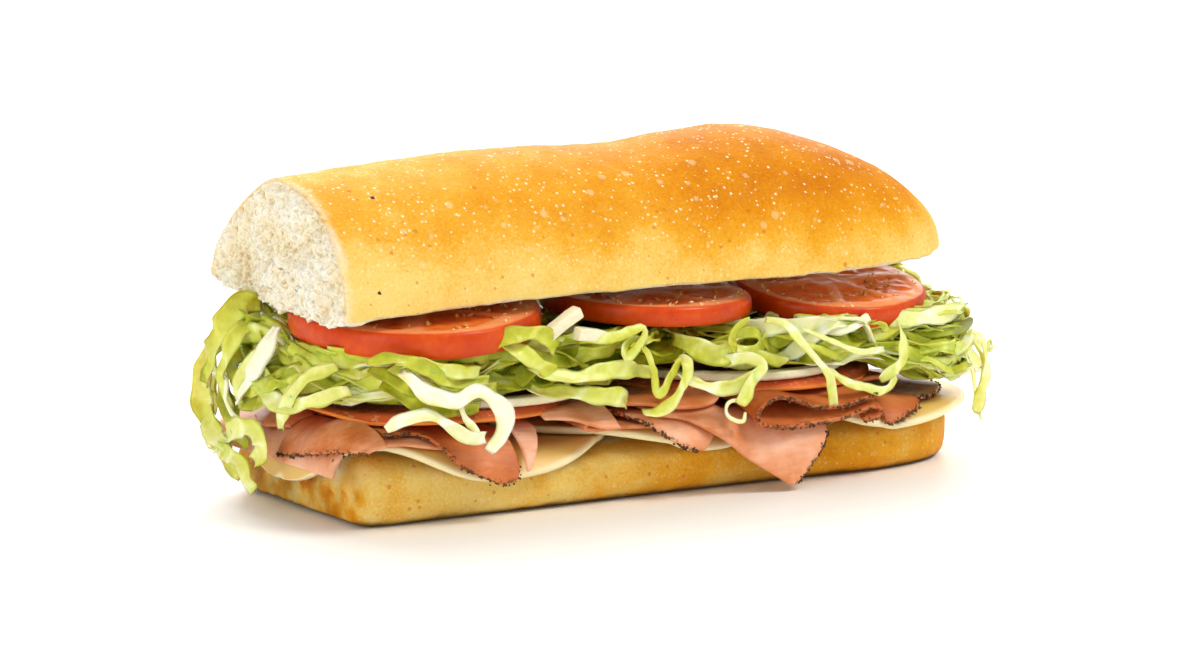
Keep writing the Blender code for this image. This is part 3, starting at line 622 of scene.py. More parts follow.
@dataclass
class UpperBread:
    """The upper half of the loaf: domed crust, cut crumb below and at the cut end."""

    around: int = 280
    along: int = 190
    patch: int = 58

    def rings(self, x: Array, turn: Array) -> Array:
        """Sections of the smooth loaf at each x."""
        x = x[:, None]
        width = nose(x, 46, 92.8, 2.1)
        edge = np.interp(x, [-96, -60, -40, 40, 70, 96], [50.6, 52.2, 52.9, 53.2, 54.0, 54.6])
        crown = np.interp(x, [-96, -86, -67, -45, 0, 12, 30, 48, 96],
                          [80.8, 81.8, 83.5, 84.8, 84.6, 86.2, 87.6, 87.2, 85])
        height = (crown - edge) * nose(x, 31, 93, 1.8)
        under = (1.2 + 1.6 * smooth(-92, -95, x)) * (0.3 + 0.7 * width)
        section = egg(turn, HALF_WIDTH * width, (HALF_WIDTH + 0.5) * width, height, under, (2.05, 1.45, 3.2))
        y, z = section[..., 0], section[..., 1]
        tilt = 0.055 * (y + HALF_WIDTH) * (1 - 0.8 * smooth(0, 1, z / 30))
        return np.stack([x + 0 * y, y + loaf_bend(x), edge + z + tilt], -1)

    def build(self, finish: bpy.types.Material) -> None:
        """The loaf's skin: a patch of torn crumb at the cut end, then sections to the round end."""
        turn = even_turns(self.around, lambda t: egg(t, 35, 35.5, 31, 2, (2.05, 1.45, 3.2)))
        x = np.concatenate([np.linspace(-95.4, 60, self.along - 50), 60 + 32.7 * np.sin(np.linspace(0, 1.57, 51))[1:]])
        body = self.rings(x, turn)
        middle = np.array([-95.4, 0.0, 62.0])
        share = np.linspace(0, 1, self.patch)[:, None, None]
        face = middle + (body[0] - middle) * share[:-1] ** 0.8
        grid = np.vstack([face, body])
        rows = len(grid)
        inside = np.zeros((rows, self.around))
        from_border = np.linalg.norm(body[0] - face, axis=-1)
        inside[: self.patch - 1] = smooth(0.3, 0.9, from_border)
        beneath = smooth(0.02, -0.12, np.sin(turn))[None, :] + 0 * inside
        crumb = np.maximum(inside, beneath)
        open_pores = smooth(0.55, 0.15, pores(grid, 2.4, 3)) * 0.5 + smooth(0.5, 0.2, pores(grid, 1.2, 5)) * 0.5
        swell = noise(grid, 7, 2, 3)
        sunk = open_pores + 0.5 * swell
        depth = (1.25 * sunk + 0.5 * swell) * crumb * smooth(0.2, 3, np.linalg.norm(grid - middle, axis=-1))
        grid[: self.patch, :, 0] += depth[: self.patch]
        ragged = np.maximum(noise(grid, 4.5, 9, 3), -0.2) * smooth(-84, -95, grid[..., 0]) * beneath
        grid[..., 2] -= 2.0 * ragged * smooth(0, 0.5, -np.sin(turn))[None, :] ** 0.5
        outward = grid - (grid.mean(axis=1, keepdims=True))
        outward[..., 0] = 0
        dents = noise(grid, 16, 4, 3) * 0.35 + noise(grid, 2.5, 8, 2) * 0.07
        grid += unit(outward) * (dents * (1 - crumb))[..., None]
        edge_line = noise(grid, 5, 12, 2) * 0.5 * bump(0, 0.5, np.sin(turn))[None, :]
        grid[..., 2] += edge_line * (1 - inside)
        height = smooth(55, 76, grid[..., 2] + 2.5 * noise(grid, 18, 7, 2))
        length = smooth(-100, 50, grid[..., 0])
        bake = 0.18 + 0.12 * length + height * (0.32 + 0.26 * length) + 0.08 * noise(grid, 22, 6, 2)
        torn = smooth(-92.6, -95.2, grid[..., 0] + 0.8 * noise(grid, 2.5, 14, 2))
        crumb = np.maximum(crumb, 0.55 * torn)
        # Higher where the crumb sinks into pores: painted shade for the pockets.
        deep = np.clip(0.22 + 0.6 * sunk, 0, 1)
        capsule(grid, {"bake": bake, "crumb": crumb, "deep": deep, "speck": 0.35 + 0.65 * height}).show(
            "upper_bread", finish, Slot.CRUST, ("bun_top",))


@dataclass
class LowerBread:
    """The lower half of the loaf: flat underneath and pinched at the cut end, where its mottled crust is painted darker
    as shade.
    """

    around: int = 220
    along: int = 200
    patch: int = 30

    def rings(self, x: Array, turn: Array) -> Array:
        """Sections of the smooth loaf at each x."""
        x = x[:, None]
        width = nose(x, 50, 94.8, 2.2) * (0.86 + 0.14 * nose(-x, 80, 92, 2))
        middle = 8.5
        lift = 1.4 * smooth(-86, -91.5, x) + 5.5 * (1 - nose(x, 70, 95, 2.4))
        bent = np.clip((1 - x - BREAD_END) / BEND_RADIUS, 0, 1)
        end_drop = 1.2 * BEND_RADIUS * (1 - np.sqrt(1 - bent**2))
        rise = (lower_bread_top(x) - end_drop - middle) * (0.55 + 0.45 * nose(x, 60, 95, 2.4))
        section = egg(turn, BASE_HALF_WIDTH * width, BASE_HALF_WIDTH * width, rise, 11.5 + 0 * x, (3.5, 3.5, 3))
        z = np.maximum(middle + section[..., 1], lift)
        lean = 1.5 * smooth(-85, -91.5, x) * (1 - z / 18)
        return np.stack([x + lean, section[..., 0] + loaf_bend(x), z], -1)

    def build(self, finish: bpy.types.Material) -> None:
        """The loaf's skin with soft dents, a brown foot, painted shade darkening the cut end and a pale ridge at the
        pinched corner.
        """
        turn = even_turns(self.around, lambda t: egg(t, 34, 34, 7, 8.5, (3.5, 3.5, 3)))
        x = np.concatenate([np.linspace(-91.5, 60, self.along - 50), 60 + 34.6 * np.sin(np.linspace(0, 1.57, 51))[1:]])
        body = self.rings(x, turn)
        middle = np.array([-91.0, 0.0, 8.0])
        share = np.linspace(0, 1, self.patch)[:-1, None, None]
        grid = np.vstack([middle + (body[0] - middle) * share, body])
        outward = grid - grid.mean(axis=1, keepdims=True)
        outward[..., 0] *= 0
        foot = smooth(0.2, 2.5, grid[..., 2])
        lower = smooth(12.5, 9, grid[..., 2])
        dents = noise(grid, 13, 21, 3) * 0.4 + noise(grid, 2.2, 22, 2) * 0.07
        grid += unit(outward) * (dents * foot * lower)[..., None]
        crumb = smooth(0.8, 0.93, np.sin(turn))[None, :] * smooth(11, 12.5, grid[..., 2])
        # Towards the cut end the crust is painted browner and darker: painted shade on the loaf's shaded left end.
        far = smooth(-78, -93, grid[..., 0])
        bake = 0.36 + 0.24 * smooth(-40, 80, grid[..., 0]) - 0.1 * smooth(8, 13, grid[..., 2])
        bake = bake + 0.14 * noise(grid, 12, 24, 3) + 0.25 * far * noise(grid, 5, 25, 3) + 0.1 * far
        # On the end face the crust is mottled browner: partly the crust's own mottling, partly painted shade.
        end = smooth(-88.5, -91, grid[..., 0])
        ridge = bump(-87.5, 4, grid[..., 0]) * smooth(13, 9, grid[..., 2])
        bake = bake + 0.3 * end * noise(grid, 3.5, 27, 3) - 0.22 * ridge
        mottle = np.clip(0.22 + 0.3 * noise(grid, 6, 28, 3), 0, 0.6) * end
        # Darker near the table where the crust is burnt, plus painted shade from the cut end and its mottling.
        burn = smooth(2.2, 0.5, grid[..., 2] + 0.5 * noise(grid, 4, 26, 2)) * 0.8 + 0.1 * far + mottle
        capsule(grid, {"bake": bake, "crumb": crumb, "burn": burn, "deep": 0.3 + 0 * bake, "speck": 0.3 + 0 * bake}).show(
            "lower_bread", finish, Slot.CRUST, ("bun_bottom",))


# ---- slices ----


def rows(t: Array, front: Array, back: Array) -> Array:
    """Distance across for a share t, with most rows where a layer bends over the edges."""
    inner = BREAD_EDGE - 1.5
    near = front + (-inner - front) * np.clip(t / 0.55, 0, 1)
    middle = 2 * inner * np.clip((t - 0.55) / 0.15, 0, 1)
    return near + middle + (back - inner) * np.clip((t - 0.7) / 0.3, 0, 1)


def columns(s: Array, start: float, stop: float) -> Array:
    """Distance along for a share s, with many columns where a layer bends over the cut end."""
    if start > -BREAD_END:
        return start + (stop - start) * s
    bent = start + (1.5 - BREAD_END - start) * np.clip(s / 0.4, 0, 1)
    return bent + (stop - 1.5 + BREAD_END) * np.clip((s - 0.4) / 0.6, 0, 1)


@dataclass(frozen=True)
class Cheese:
    """A round slice of cheese draped over the bread."""

    node: str
    centre: tuple[float, float]
    half_length: float
    half_width: float
    lift: Callable[[Array], Array]
    thickness: float = 1.8

    def skin(self) -> Skin:
        """The slice: its outline |u|^2.1 + |v|^2.1 = 1, laid on the bread."""
        s = shares(70, 80, self.thickness)[:, None]
        t = shares(70, 80, self.thickness)[None, :]
        start = self.centre[0] - self.half_length
        u = columns(s, start, start + 2 * self.half_length) + 0 * t
        share = 0.999 * (u - self.centre[0]) / self.half_length
        half = self.half_width * (1 - np.abs(share) ** 2.1) ** (1 / 2.1)
        half = half * (1 + 0.012 * np.sin(u / 6))
        v = self.centre[1] + np.where(half > BREAD_EDGE, rows(t, -half, half), half * (2 * t - 1))
        height = self.lift(u) + self.thickness / 2
        place = lay(u, v, height)
        free = smooth(BREAD_EDGE, BREAD_EDGE + 8, np.abs(v))
        place[..., 1] -= 0.3 * free * np.sign(-v) * noise(place, 14, 40, 2)
        return thick(place, self.thickness)


@dataclass(frozen=True)
class Drape:
    """A slice of ham laid over the bread with an edge hanging along an outline.

    Attributes:
        node: the CAD node that it stands for.
        outline: places along (or across, over the cut end) and the heights hung down to.
        lift: height above the bread.
        back: the far edge.
        tone: 0 pink to 1 brown.
        crust: from and to share of the front edge that is peppered.
        over_end: true where the slice hangs over the cut end.
    """

    node: str
    outline: tuple[tuple[float, float], ...]
    lift: Height
    back: Callable[[Array], Array]
    tone: float = 0.4
    crust: tuple[float, float] = (0.0, 0.0)
    over_end: bool = False
    wave: float = 0.12

    def grid(self) -> tuple[Array, Array, Array]:
        """Places of the middle surface, with the shares along and away from the hanging edge."""
        outline = np.array(self.outline, float)
        knots = np.linspace(outline[0, 0], outline[-1, 0], 121)
        smoothed = curve_through(outline, 161)
        target = np.interp(knots, smoothed[:, 0], smoothed[:, 1])
        if self.over_end:
            height = self.lift(-BREAD_END + 0 * knots, knots)
        else:
            height = self.lift(knots, -BREAD_EDGE + 0 * knots)
        edge = hang(knots, height, target, self.over_end)
        s = shares(54, abs(knots[-1] - knots[0]), 1.1)[:, None]
        t = shares(60, 90, 1.1)[None, :]
        if self.over_end:
            v = knots[0] + (knots[-1] - knots[0]) * s + 0 * t
            near = np.interp(v, knots, edge)
            u = near + (self.back(v) - near) * t
        else:
            u = columns(s, knots[0], knots[-1]) + 0 * t
            v = rows(t, np.interp(u, knots, edge), self.back(u))
        place = lay(u, v, self.lift(u, v))
        ripple = noise(place, 6, 50 + len(self.node), 2) * self.wave
        normal = unit(np.cross(np.gradient(place, axis=0), np.gradient(place, axis=1)))
        return place + normal * ripple[..., None], s + 0 * t, t + 0 * s

    def skin(self) -> Skin:
        """The slice as a thin solid with its tones."""
        place, s, t = self.grid()
        tone = self.tone + 0.18 * noise(place, 9, 60 + len(self.node), 2)
        inside = smooth(self.crust[0] - 0.02, self.crust[0] + 0.02, s) * smooth(
            self.crust[1] + 0.02, self.crust[1] - 0.02, s)
        near = smooth(0.3, 0.0, t) if self.crust[1] > 0 else 0 * t
        return thick(place, 1.1, {"tone": tone + 0.12 * near, "crust": inside * near})

    def grains(self, draw: np.random.Generator) -> Array:
        """Places of pepper along the peppered edge."""
        place = self.grid()[0][:, 1]
        count = int(len(place) * 1.5)
        share = draw.uniform(self.crust[0], self.crust[1], count) * (len(place) - 1)
        index = np.arange(len(place))
        spots = np.column_stack([np.interp(share, index, place[:, axis]) for axis in range(3)])
        return spots + draw.normal(0, 0.28, spots.shape) if self.crust[1] > 0 else spots[:0]


@dataclass(frozen=True)
class Fold:
    """A folded slice of ham: a path of x and z at the front, carried to the back at a rest height."""

    node: str
    path: tuple[tuple[float, float], ...]
    front: float
    back: float
    rest: Callable[[Array, Array], Array]
    tone: float = 0.5
    crust: float = 0.0

    def grid(self) -> Array:
        """Places: the path at each y, settling to its rest height within 15 mm."""
        line = curve_through(self.path, 170)
        t = shares(60, 80, 1.1)[None, :]
        ends = np.clip(shares(150, 60, 1.1), 0, 1)[:, None] * (len(line) - 1)
        index = np.arange(len(line))
        x, z = (np.interp(ends, index, line[:, axis]) + 0 * t for axis in range(2))
        y = self.front + (self.back - self.front) * t**1.8
        y = y + 0.5 * np.sin(x / 4.0) * (1 - smooth(0, 0.3, t))
        settled = 1 - (1 - np.clip((y - self.front) / 15, 0, 1)) ** 2
        z = z + (self.rest(x, z) - z) * settled
        return np.stack([x + 1.2 * np.sin((y - self.front) / 17), y, z], -1)

    def skin(self) -> Skin:
        """The slice as a thin solid with its tones."""
        place = self.grid()
        near = smooth(self.front + 14, self.front, place[..., 1])
        tone = self.tone + 0.15 * noise(place, 7, 71, 2) + 0.1 * near
        return thick(place, 1.1, {"tone": tone, "crust": self.crust * near})

    def grains(self, draw: np.random.Generator) -> Array:
        """Places of pepper along the front edge."""
        place = self.grid()[:, 1]
        count = int(len(place) * 1.3 * self.crust)
        share = draw.uniform(0, len(place) - 1, count)
        index = np.arange(len(place))
        spots = np.column_stack([np.interp(share, index, place[:, axis]) for axis in range(3)])
        return spots + draw.normal(0, 0.25, spots.shape)


@dataclass(frozen=True)
class EndSlice:
    """A slice of ham lying near the round end, its outline rounded like the loaf's."""

    node: str
    start: float
    stop: float
    # A pale pink tone, paler than the slice's own orange-brown: painted light, brightening a slice that lies in the
    # lettuce heap's shade.
    tone: float = 0.05

    def grid(self) -> Array:
        """Places within |(u - 55) / 38|^2.1 + |v / 33|^2.1 = 1, laid on the bread with a small wave."""
        u = self.start + (self.stop - self.start) * shares(40, 18, 1.1)[:, None]
        half = 33 * (1 - np.abs((u - 55) / 38) ** 2.1) ** (1 / 2.1)
        v = half * (2 * shares(90, 60, 1.1)[None, :] - 1)
        return lay(u, v, 3.6 + 0.3 * np.sin(u / 3 + v / 9))

    def skin(self) -> Skin:
        """The slice as a thin solid with its tones."""
        place = self.grid()
        near = smooth(0, -25, place[..., 1])
        return thick(place, 1.1, {"tone": self.tone + 0.2 * noise(place, 7, 73, 2), "crust": 0.5 * near})

    def grains(self, draw: np.random.Generator) -> Array:
        """Places of pepper along the front and end edges."""
        place = np.concatenate([self.grid()[:, 1], self.grid()[-2, ::-1]])
        share = draw.uniform(0, len(place) - 1, len(place))
        index = np.arange(len(place))
        spots = np.column_stack([np.interp(share, index, place[:, axis]) for axis in range(3)])
        return spots + draw.normal(0, 0.3, spots.shape)


@dataclass(frozen=True)
class CuredSlice:
    """A round thin slice of cured meat lying nearly flat."""

    node: str
    centre: tuple[float, float]
    radii: tuple[float, float]
    height: Height

    def skin(self) -> Skin:
        """A disc made from a square grid pushed out to a circle, its rim a little wavy."""
        share = shares(56, 77, 0.9) * 2 - 1
        a, b = share[:, None] + 0 * share[None, :], share[None, :] + 0 * share[:, None]
        x = self.centre[0] + self.radii[0] * a * np.sqrt(1 - b * b / 2)
        y = self.centre[1] + self.radii[1] * b * np.sqrt(1 - a * a / 2)
        reach = np.clip(np.hypot((x - self.centre[0]) / self.radii[0], (y - self.centre[1]) / self.radii[1]), 0, 1)
        angle = np.arctan2(y - self.centre[1], x - self.centre[0])
        wave = 0.25 * np.sin(3 * angle + 1) * reach**3
        droop = -1.6 * smooth(0.93, 1.0, reach) * smooth(0.1, 0.8, -np.sin(angle))
        place = np.stack([x, y, self.height(x, y) + wave + droop], -1)
        return thick(place, 0.9)


CHEESE_PRESS = 0.1
SINGLE = 2 * GAP
DOUBLE = 4 * GAP + 1.8
LEVEL = 0.55 + 2.2 * GAP

CHEESES = (
    Cheese("cheese_left", (-54.3, -0.5), 45.3, 39.2, lambda u: SINGLE + 0 * u),
    Cheese("cheese_middle", (4, -0.5), 47, 36.5,
           lambda u: SINGLE + (DOUBLE - SINGLE - CHEESE_PRESS) * smooth(-0.5, -7.5, u)),
    Cheese("cheese_right", (61, -0.5), 38.5, 36.5, lambda u: SINGLE + (DOUBLE - SINGLE) * smooth(61, 54, u)),
)

DRAPES = (
    Drape("ham_band", ((-95.5, 16.2), (-94, 16.6), (-91, 20.2), (-81, 20.1), (-72, 18.6), (-60, 17.5)),
          lambda u, v: cheese_top(u) + LEVEL, lambda u: 35 + 2 * np.sin(u / 6), 0.15, (0.75, 1.0)),
    Drape("ham_tongue", ((-85, 22.6), (-76, 21.8), (-72.3, 19.3), (-69.2, 15.4), (-64.8, 12.8),
                         (-60.4, 10.7), (-56.6, 9.7), (-53.4, 10.5), (-52.3, 13.5)),
          lambda u, v: cheese_top(u) + LEVEL + 1.5 + 0.4 * (1 + np.sin(v / 5 + u / 9)),
          lambda u: 34 + 3 * np.sin(u / 5 + 1), 0.68, (0.0, 1.0)),
    Drape("ham_end_fold", ((-34.5, 19.2), (-32.9, 19.4), (-17.8, 17.0), (-9.6, 15.4), (-2.4, 15.0)),
          lambda u, v: 4.9 + 2.4 * np.exp(-(((v + 22) / 8) ** 2)), lambda v: -85.8 + 0 * v, 0.45, (0.0, 1.0), True),
    Drape("ham_end_roll", ((-1.2, 20.6), (3, 20.4), (9.6, 20.0), (14, 20.4), (18, 20.6)),
          lambda u, v: 4.8 + 2.2 * np.exp(-(((v - 8) / 6) ** 2)), lambda v: -85.8 + 0 * v, 0.45, (0.0, 0.0), True),
    Drape("ham_pink", ((-51.6, 12.4), (-50.4, 12.7), (-47.7, 16.4), (-45.1, 20.0), (-43.9, 22.6)),
          lambda u, v: 7.4 + 0 * u, lambda u: 36 + 0 * u, 0.12),
    Drape("ham_fold_top", ((-43.2, 23.4), (-35.4, 22.6), (-29.2, 20.6), (-24.0, 20.2)),
          lambda u, v: 10.75 + 0.1 * np.sin(u / 4), lambda u: 35 + 0 * u, 0.35),
    Drape("ham_slope", ((-20.8, 22.5), (-15.2, 20.6), (-10.9, 17.4), (-6.7, 14.2), (-2.4, 12.6),
                        (0.5, 12.8), (3.9, 15.4)),
          lambda u, v: 6.8 - 0.05 * u, lambda u: 34 + 0 * u, 0.3, (0.1, 0.75)),
    Drape("ham_cover", ((-21, 24.4), (-12, 23.8), (-6, 22.9), (0, 22.5), (6, 23.0), (11, 24.4)),
          lambda u, v: 10.6 + 0 * u, lambda u: 36 + 1.5 * np.sin(u / 5), 0.55),
    Drape("ham_flap", ((-11.6, 21.4), (-3.1, 19.8), (4.1, 15.5), (11.3, 10.2), (17.9, 5.9),
                       (24.5, 1.9), (26.7, 2.0), (31.1, 5.8), (35.5, 10.7), (37.4, 13.8)),
          lambda u, v: 5.65 + 3.05 * smooth(14, 5, u), lambda u: 35 + 1.5 * np.sin(u / 7), 0.25, (0.76, 1.0)),
    Drape("ham_side", ((54.8, 14.2), (57.5, 14.2), (62.6, 15.5), (68.5, 16.9), (70.6, 19.3)),
          lambda u, v: 4.3 + 1.7 * smooth(70, 56, u), lambda u: 32 + 0 * u, 0.6, (0.0, 1.0)),
    Drape("ham_upper", ((54.2, 24.0), (58, 24.2), (62, 24.0), (67, 24.4)),
          lambda u, v: 9.9 - 0.02 * (u - 60) ** 2, lambda u: 33 + 0 * u, 0.7, (0.0, 1.0)),
)

FOLDS = (
    Fold("ham_fold_low", ((0.5, 17.0), (-6, 18.0), (-13, 18.6), (-22.9, 19.0), (-28.6, 19.2), (-30.8, 20.1),
                          (-29, 21.1), (-23, 20.9)),
         -36.4, 32, lambda x, z: 19.45 - 0.022 * x + 0.8 * np.maximum(z - 19.3, 0), 0.3),
    Fold("ham_roll", ((50.5, 22.4), (44, 20.9), (39, 20.1), (33.2, 20.1), (28, 21.8), (23.6, 23.6), (19.6, 24.0),
                      (16.2, 22.6), (14.6, 20.2), (15.2, 17.9), (21.5, 16.4), (28.1, 15.9), (35, 16.3), (40.5, 17.2),
                      (45.5, 18.5), (49.5, 19.0), (52.2, 17.8), (51.0, 16.0), (46.5, 15.9)),
         -44.8, 36, lambda x, z: 21.05 + 0.45 * (z - 15.9), 0.72, 1.0),
)

END_SLICES = (EndSlice("ham_end", 72.4, 91.0),)

CURED = (
    CuredSlice("cured_left", (-58, -0.5), (38.5, 38.5), lambda x, y: 26.25 + 1.8 * smooth(-84, -95, x)),
    CuredSlice("cured_right", (32, -0.5), (39, 38.5), lambda x, y: 26.1 + 0 * x),
)


# ---- tomato and onion ----


@dataclass(frozen=True)
class Tomato:
    """A round slice of tomato: smooth skin round it, seed chambers sunk into its faces."""

    node: str
    centre: tuple[float, float, float]
    radius: float
    thickness: float
    lean: tuple[float, float]
    chambers: int
    seed: int

    def to_world(self, local: Array) -> Array:
        """Tilt a slice that lies flat and put it in place."""
        x, y = math.atan(self.lean[1]), -math.atan(self.lean[0])
        turn_x = np.array([[1, 0, 0], [0, math.cos(x), -math.sin(x)], [0, math.sin(x), math.cos(x)]])
        turn_y = np.array([[math.cos(y), 0, math.sin(y)], [0, 1, 0], [-math.sin(y), 0, math.cos(y)]])
        return local @ (turn_y @ turn_x).T + np.array(self.centre)

    def chamber(self, radius: Array, angle: Array) -> Array:
        """1 in a seed chamber: between the outer wall and the core, and between the radial walls."""
        share = radius / self.radius
        wobble = 0.05 * np.sin(3 * angle + self.seed)
        ring = smooth(0.84 + wobble, 0.76 + wobble, share) * smooth(0.22, 0.34, share)
        wall = np.abs(np.sin(self.chambers * angle / 2 + 0.35 * np.sin(2 * angle + self.seed)))
        return ring * smooth(0.18, 0.4, wall * share * 1.6)

    def skin(self) -> Skin:
        """Rings from the middle of the top face, over the skin and back to the middle below."""
        half, radius = self.thickness / 2, self.radius
        turn = np.linspace(0, 2 * np.pi, 168, endpoint=False)[None, :]
        face = np.linspace(0, radius - 1.4, 40)
        side = np.linspace(-np.pi / 2, np.pi / 2, 19)[1:-1]
        reach = np.concatenate([face, radius - 1.4 + 1.4 * np.cos(side[::-1]) ** 0.8, face[::-1]])[:, None]
        level = np.concatenate([half + 0 * face, half * np.sign(side[::-1]) * np.abs(np.sin(side[::-1])) ** 0.9,
                                -half + 0 * face])[:, None]
        seed_room = self.chamber(reach, turn)
        outer = reach * (1 + 0.012 * np.sin(3 * turn + self.seed) + 0.006 * np.sin(7 * turn))
        local = np.stack([outer * np.cos(turn), outer * np.sin(turn), level + 0 * turn], -1)
        sunk = seed_room * (0.45 + 0.3 * noise(local, 2.5, self.seed, 2)) - 0.12 * noise(local, 3, self.seed + 3, 2)
        on_face = smooth(radius - 0.6, radius - 1.6, reach)
        local[..., 2] -= np.sign(level) * sunk * on_face
        skin = smooth(radius - 1.5, radius - 0.9, reach) + 0 * turn
        # A band along the faces' rounded edge, which the finish paints paler: a painted highlight.
        ridge = bump(radius - 1.5, 0.8, reach) * smooth(0.5, 0.9, np.abs(level) / half) + 0 * turn
        return capsule(self.to_world(local), {"skin": skin, "gel": seed_room * on_face, "ridge": ridge})

    def strewn(self, draw: np.random.Generator, count: int, in_gel: bool) -> Array:
        """Places on the top face, in the seed chambers or near the rim."""
        angle = draw.uniform(0, 2 * np.pi, 12 * count)
        radius = self.radius * np.sqrt(draw.uniform(0.1, 0.93, 12 * count))
        room = self.chamber(radius, angle) > 0.7
        keep = np.flatnonzero(room if in_gel else ~room)[:count]
        radius, angle = radius[keep], angle[keep]
        top = np.full(len(keep), self.thickness / 2 - (0.2 if in_gel else -0.25))
        return self.to_world(np.stack([radius * np.cos(angle), radius * np.sin(angle), top], -1))


TOMATOES = (
    Tomato("tomato_left", (-64, -12, 46.8), 30.8, 6.4, (0.035, 0.087), 6, 1),
    Tomato("tomato_middle", (2, -12, 46.2), 26.8, 5.0, (-0.026, 0.043), 5, 2),
    Tomato("tomato_right", (57.5, -12, 44.6), 25.8, 5.7, (0.003, 0.177), 6, 3),
)


@dataclass(frozen=True)
class OnionRing:
    """One ring of a sliced onion, slightly wavy."""

    node: str
    centre: tuple[float, float, float]
    radius: float = 29.3
    wall: float = 4.3
    height: float = 2.2

    def skin(self) -> Skin:
        """A rounded box section carried round, its faces joined end to end."""
        turn = np.linspace(0, 2 * np.pi, 180, endpoint=False)[:, None]
        around = np.linspace(0, 2 * np.pi, 26, endpoint=False)[None, :]
        cos, sin = np.cos(around), np.sin(around)
        out = self.wall / 2 * np.sign(cos) * np.abs(cos) ** 0.5
        up = self.height / 2 * np.sign(sin) * np.abs(sin) ** 0.5
        layer = 0.12 * np.sin(out * 4.2) * np.abs(sin)
        radius = self.radius - self.wall / 2 + out + 0.4 * np.sin(2 * turn + 1)
        place = np.stack([radius * np.cos(turn), radius * np.sin(turn), up + layer + 0 * turn], -1)
        place = place + np.array(self.centre)
        rows_, columns_ = place.shape[:2]
        ring = np.concatenate([place, place[:1]])
        faces = quads(rows_ + 1, columns_, wrap=True) % (rows_ * columns_)
        return Skin(ring[:-1].reshape(-1, 3), faces, {}).outward()


@dataclass(frozen=True)
class OnionStick:
    """A short cut stick of onion with soft edges."""

    node: str
    centre: tuple[float, float, float]
    size: tuple[float, float, float]
    turn: tuple[float, float, float]

    def skin(self) -> Skin:
        """Rounded squares along a slightly bowed line, drawn together at both ends."""
        run = np.array([-1, -1, -0.985, -0.95, -0.85, -0.5, 0, 0.5, 0.85, 0.95, 0.985, 1, 1])[:, None]
        shrink = np.array([0, 0.8, 0.93, 0.99, 1, 1, 1, 1, 1, 0.99, 0.93, 0.8, 0])[:, None]
        around = np.linspace(0, 2 * np.pi, 40, endpoint=False)[None, :]
        cos, sin = np.cos(around), np.sin(around)
        y = self.size[1] / 2 * np.sign(cos) * np.abs(cos) ** 0.35 * shrink
        z = self.size[2] / 2 * np.sign(sin) * np.abs(sin) ** 0.35 * shrink
        local = np.stack([self.size[0] / 2 * run + 0 * y, y, z + 0.25 * (1 - run**2)], -1)
        local = local + 0.1 * noise(local, 2, 33, 2)[..., None]
        a, b, c = self.turn
        turn_x = np.array([[1, 0, 0], [0, math.cos(a), -math.sin(a)], [0, math.sin(a), math.cos(a)]])
        turn_y = np.array([[math.cos(b), 0, math.sin(b)], [0, 1, 0], [-math.sin(b), 0, math.cos(b)]])
        turn_z = np.array([[math.cos(c), -math.sin(c), 0], [math.sin(c), math.cos(c), 0], [0, 0, 1]])
        return capsule(local @ (turn_z @ turn_y @ turn_x).T + np.array(self.centre), {})


ONIONS = (
    OnionRing("onion_left", (-47, -9.5, 28.3)),
    OnionRing("onion_right", (29, -9.5, 28.3)),
    OnionStick("onion_chip_left", (-38.5, -38.5, 46.3), (11.5, 3.2, 3.0), (0.1, -0.5, 0.1)),
    OnionStick("onion_chip_right", (-31.5, -40.5, 43.2), (9, 3.2, 3.2), (0.1, 0.2, 0.1)),
)


# ---- lettuce ----


@dataclass(frozen=True)
class Shred:
    """A shred of lettuce along a curve.

    Attributes:
        points: places that its middle line goes through.
        width: at its widest.
        facing: the direction that its broad side looks in.
        tone: 0 dark green to 1 white rib.
        twist: turn about its line at its start and end.
        cup: how deep its section bows.
        steps: rows along it.
        seed: of its crinkles.
    """

    points: Array
    width: float
    facing: tuple[float, float, float] = (0, -1, 0.2)
    tone: float = 0.55
    twist: tuple[float, float] = (0.4, -0.4)
    cup: float = 0.15
    steps: int = 36
    seed: int = 1

    def skin(self) -> Skin:
        """Points across the line, bowed, ruffled at the edges and crinkled by noise."""
        line = curve_through(np.asarray(self.points), self.steps)
        length = np.linalg.norm(np.diff(line, axis=0), axis=1).sum()
        share = np.linspace(0, 1, self.steps)[:, None]
        ahead = unit(np.gradient(line, axis=0))
        side = unit(np.cross(ahead, self.facing))
        over = np.cross(side, ahead)
        turn = self.twist[0] + (self.twist[1] - self.twist[0]) * share + 0.35 * np.sin(7 * share + self.seed)
        across = side * np.cos(turn) + over * np.sin(turn)
        up = over * np.cos(turn) - side * np.sin(turn)
        c = np.linspace(-1, 1, 7)[None, :, None]
        ends = 1 - 0.35 * np.abs(2 * share - 1) ** 5
        wobble = 1 + 0.16 * np.sin(share * length / 3.1 + self.seed) + 0.1 * np.sin(share * length / 1.3 + 2 * self.seed)
        half = (self.width / 2 * ends * wobble)[:, None]
        bow = self.cup * self.width * (c * c - 0.4)
        ruffle = 0.09 * self.width * np.sign(c) * np.abs(c) ** 2 * np.sin(
            share[:, None] * length / 1.5 + self.seed + c)
        place = line[:, None] + across[:, None] * half * c + up[:, None] * (bow + ruffle)
        crinkle = noise(place, 2.6, self.seed % 17 + 80, 2) * 0.3
        place = place + up[:, None] * crinkle[..., None]
        run = share * length
        vein = smooth(0.75, 0.98, np.sin(run / 1.9 + 0.6 * c[..., 0] + self.seed))
        vein = vein * (0.4 + 0.6 * chance(np.floor(np.stack([run / 12, run * 0, run * 0], -1)), self.seed))
        tone = self.tone + 0.12 * noise(place, 9, self.seed % 11 + 90, 2) + 0.12 * c[..., 0] * np.sin(self.seed)
        heavy = 0.45 + 0.5 * smooth(0.75, 1.0, self.tone)
        return thick(place, heavy, {"tone": tone, "vein": vein})


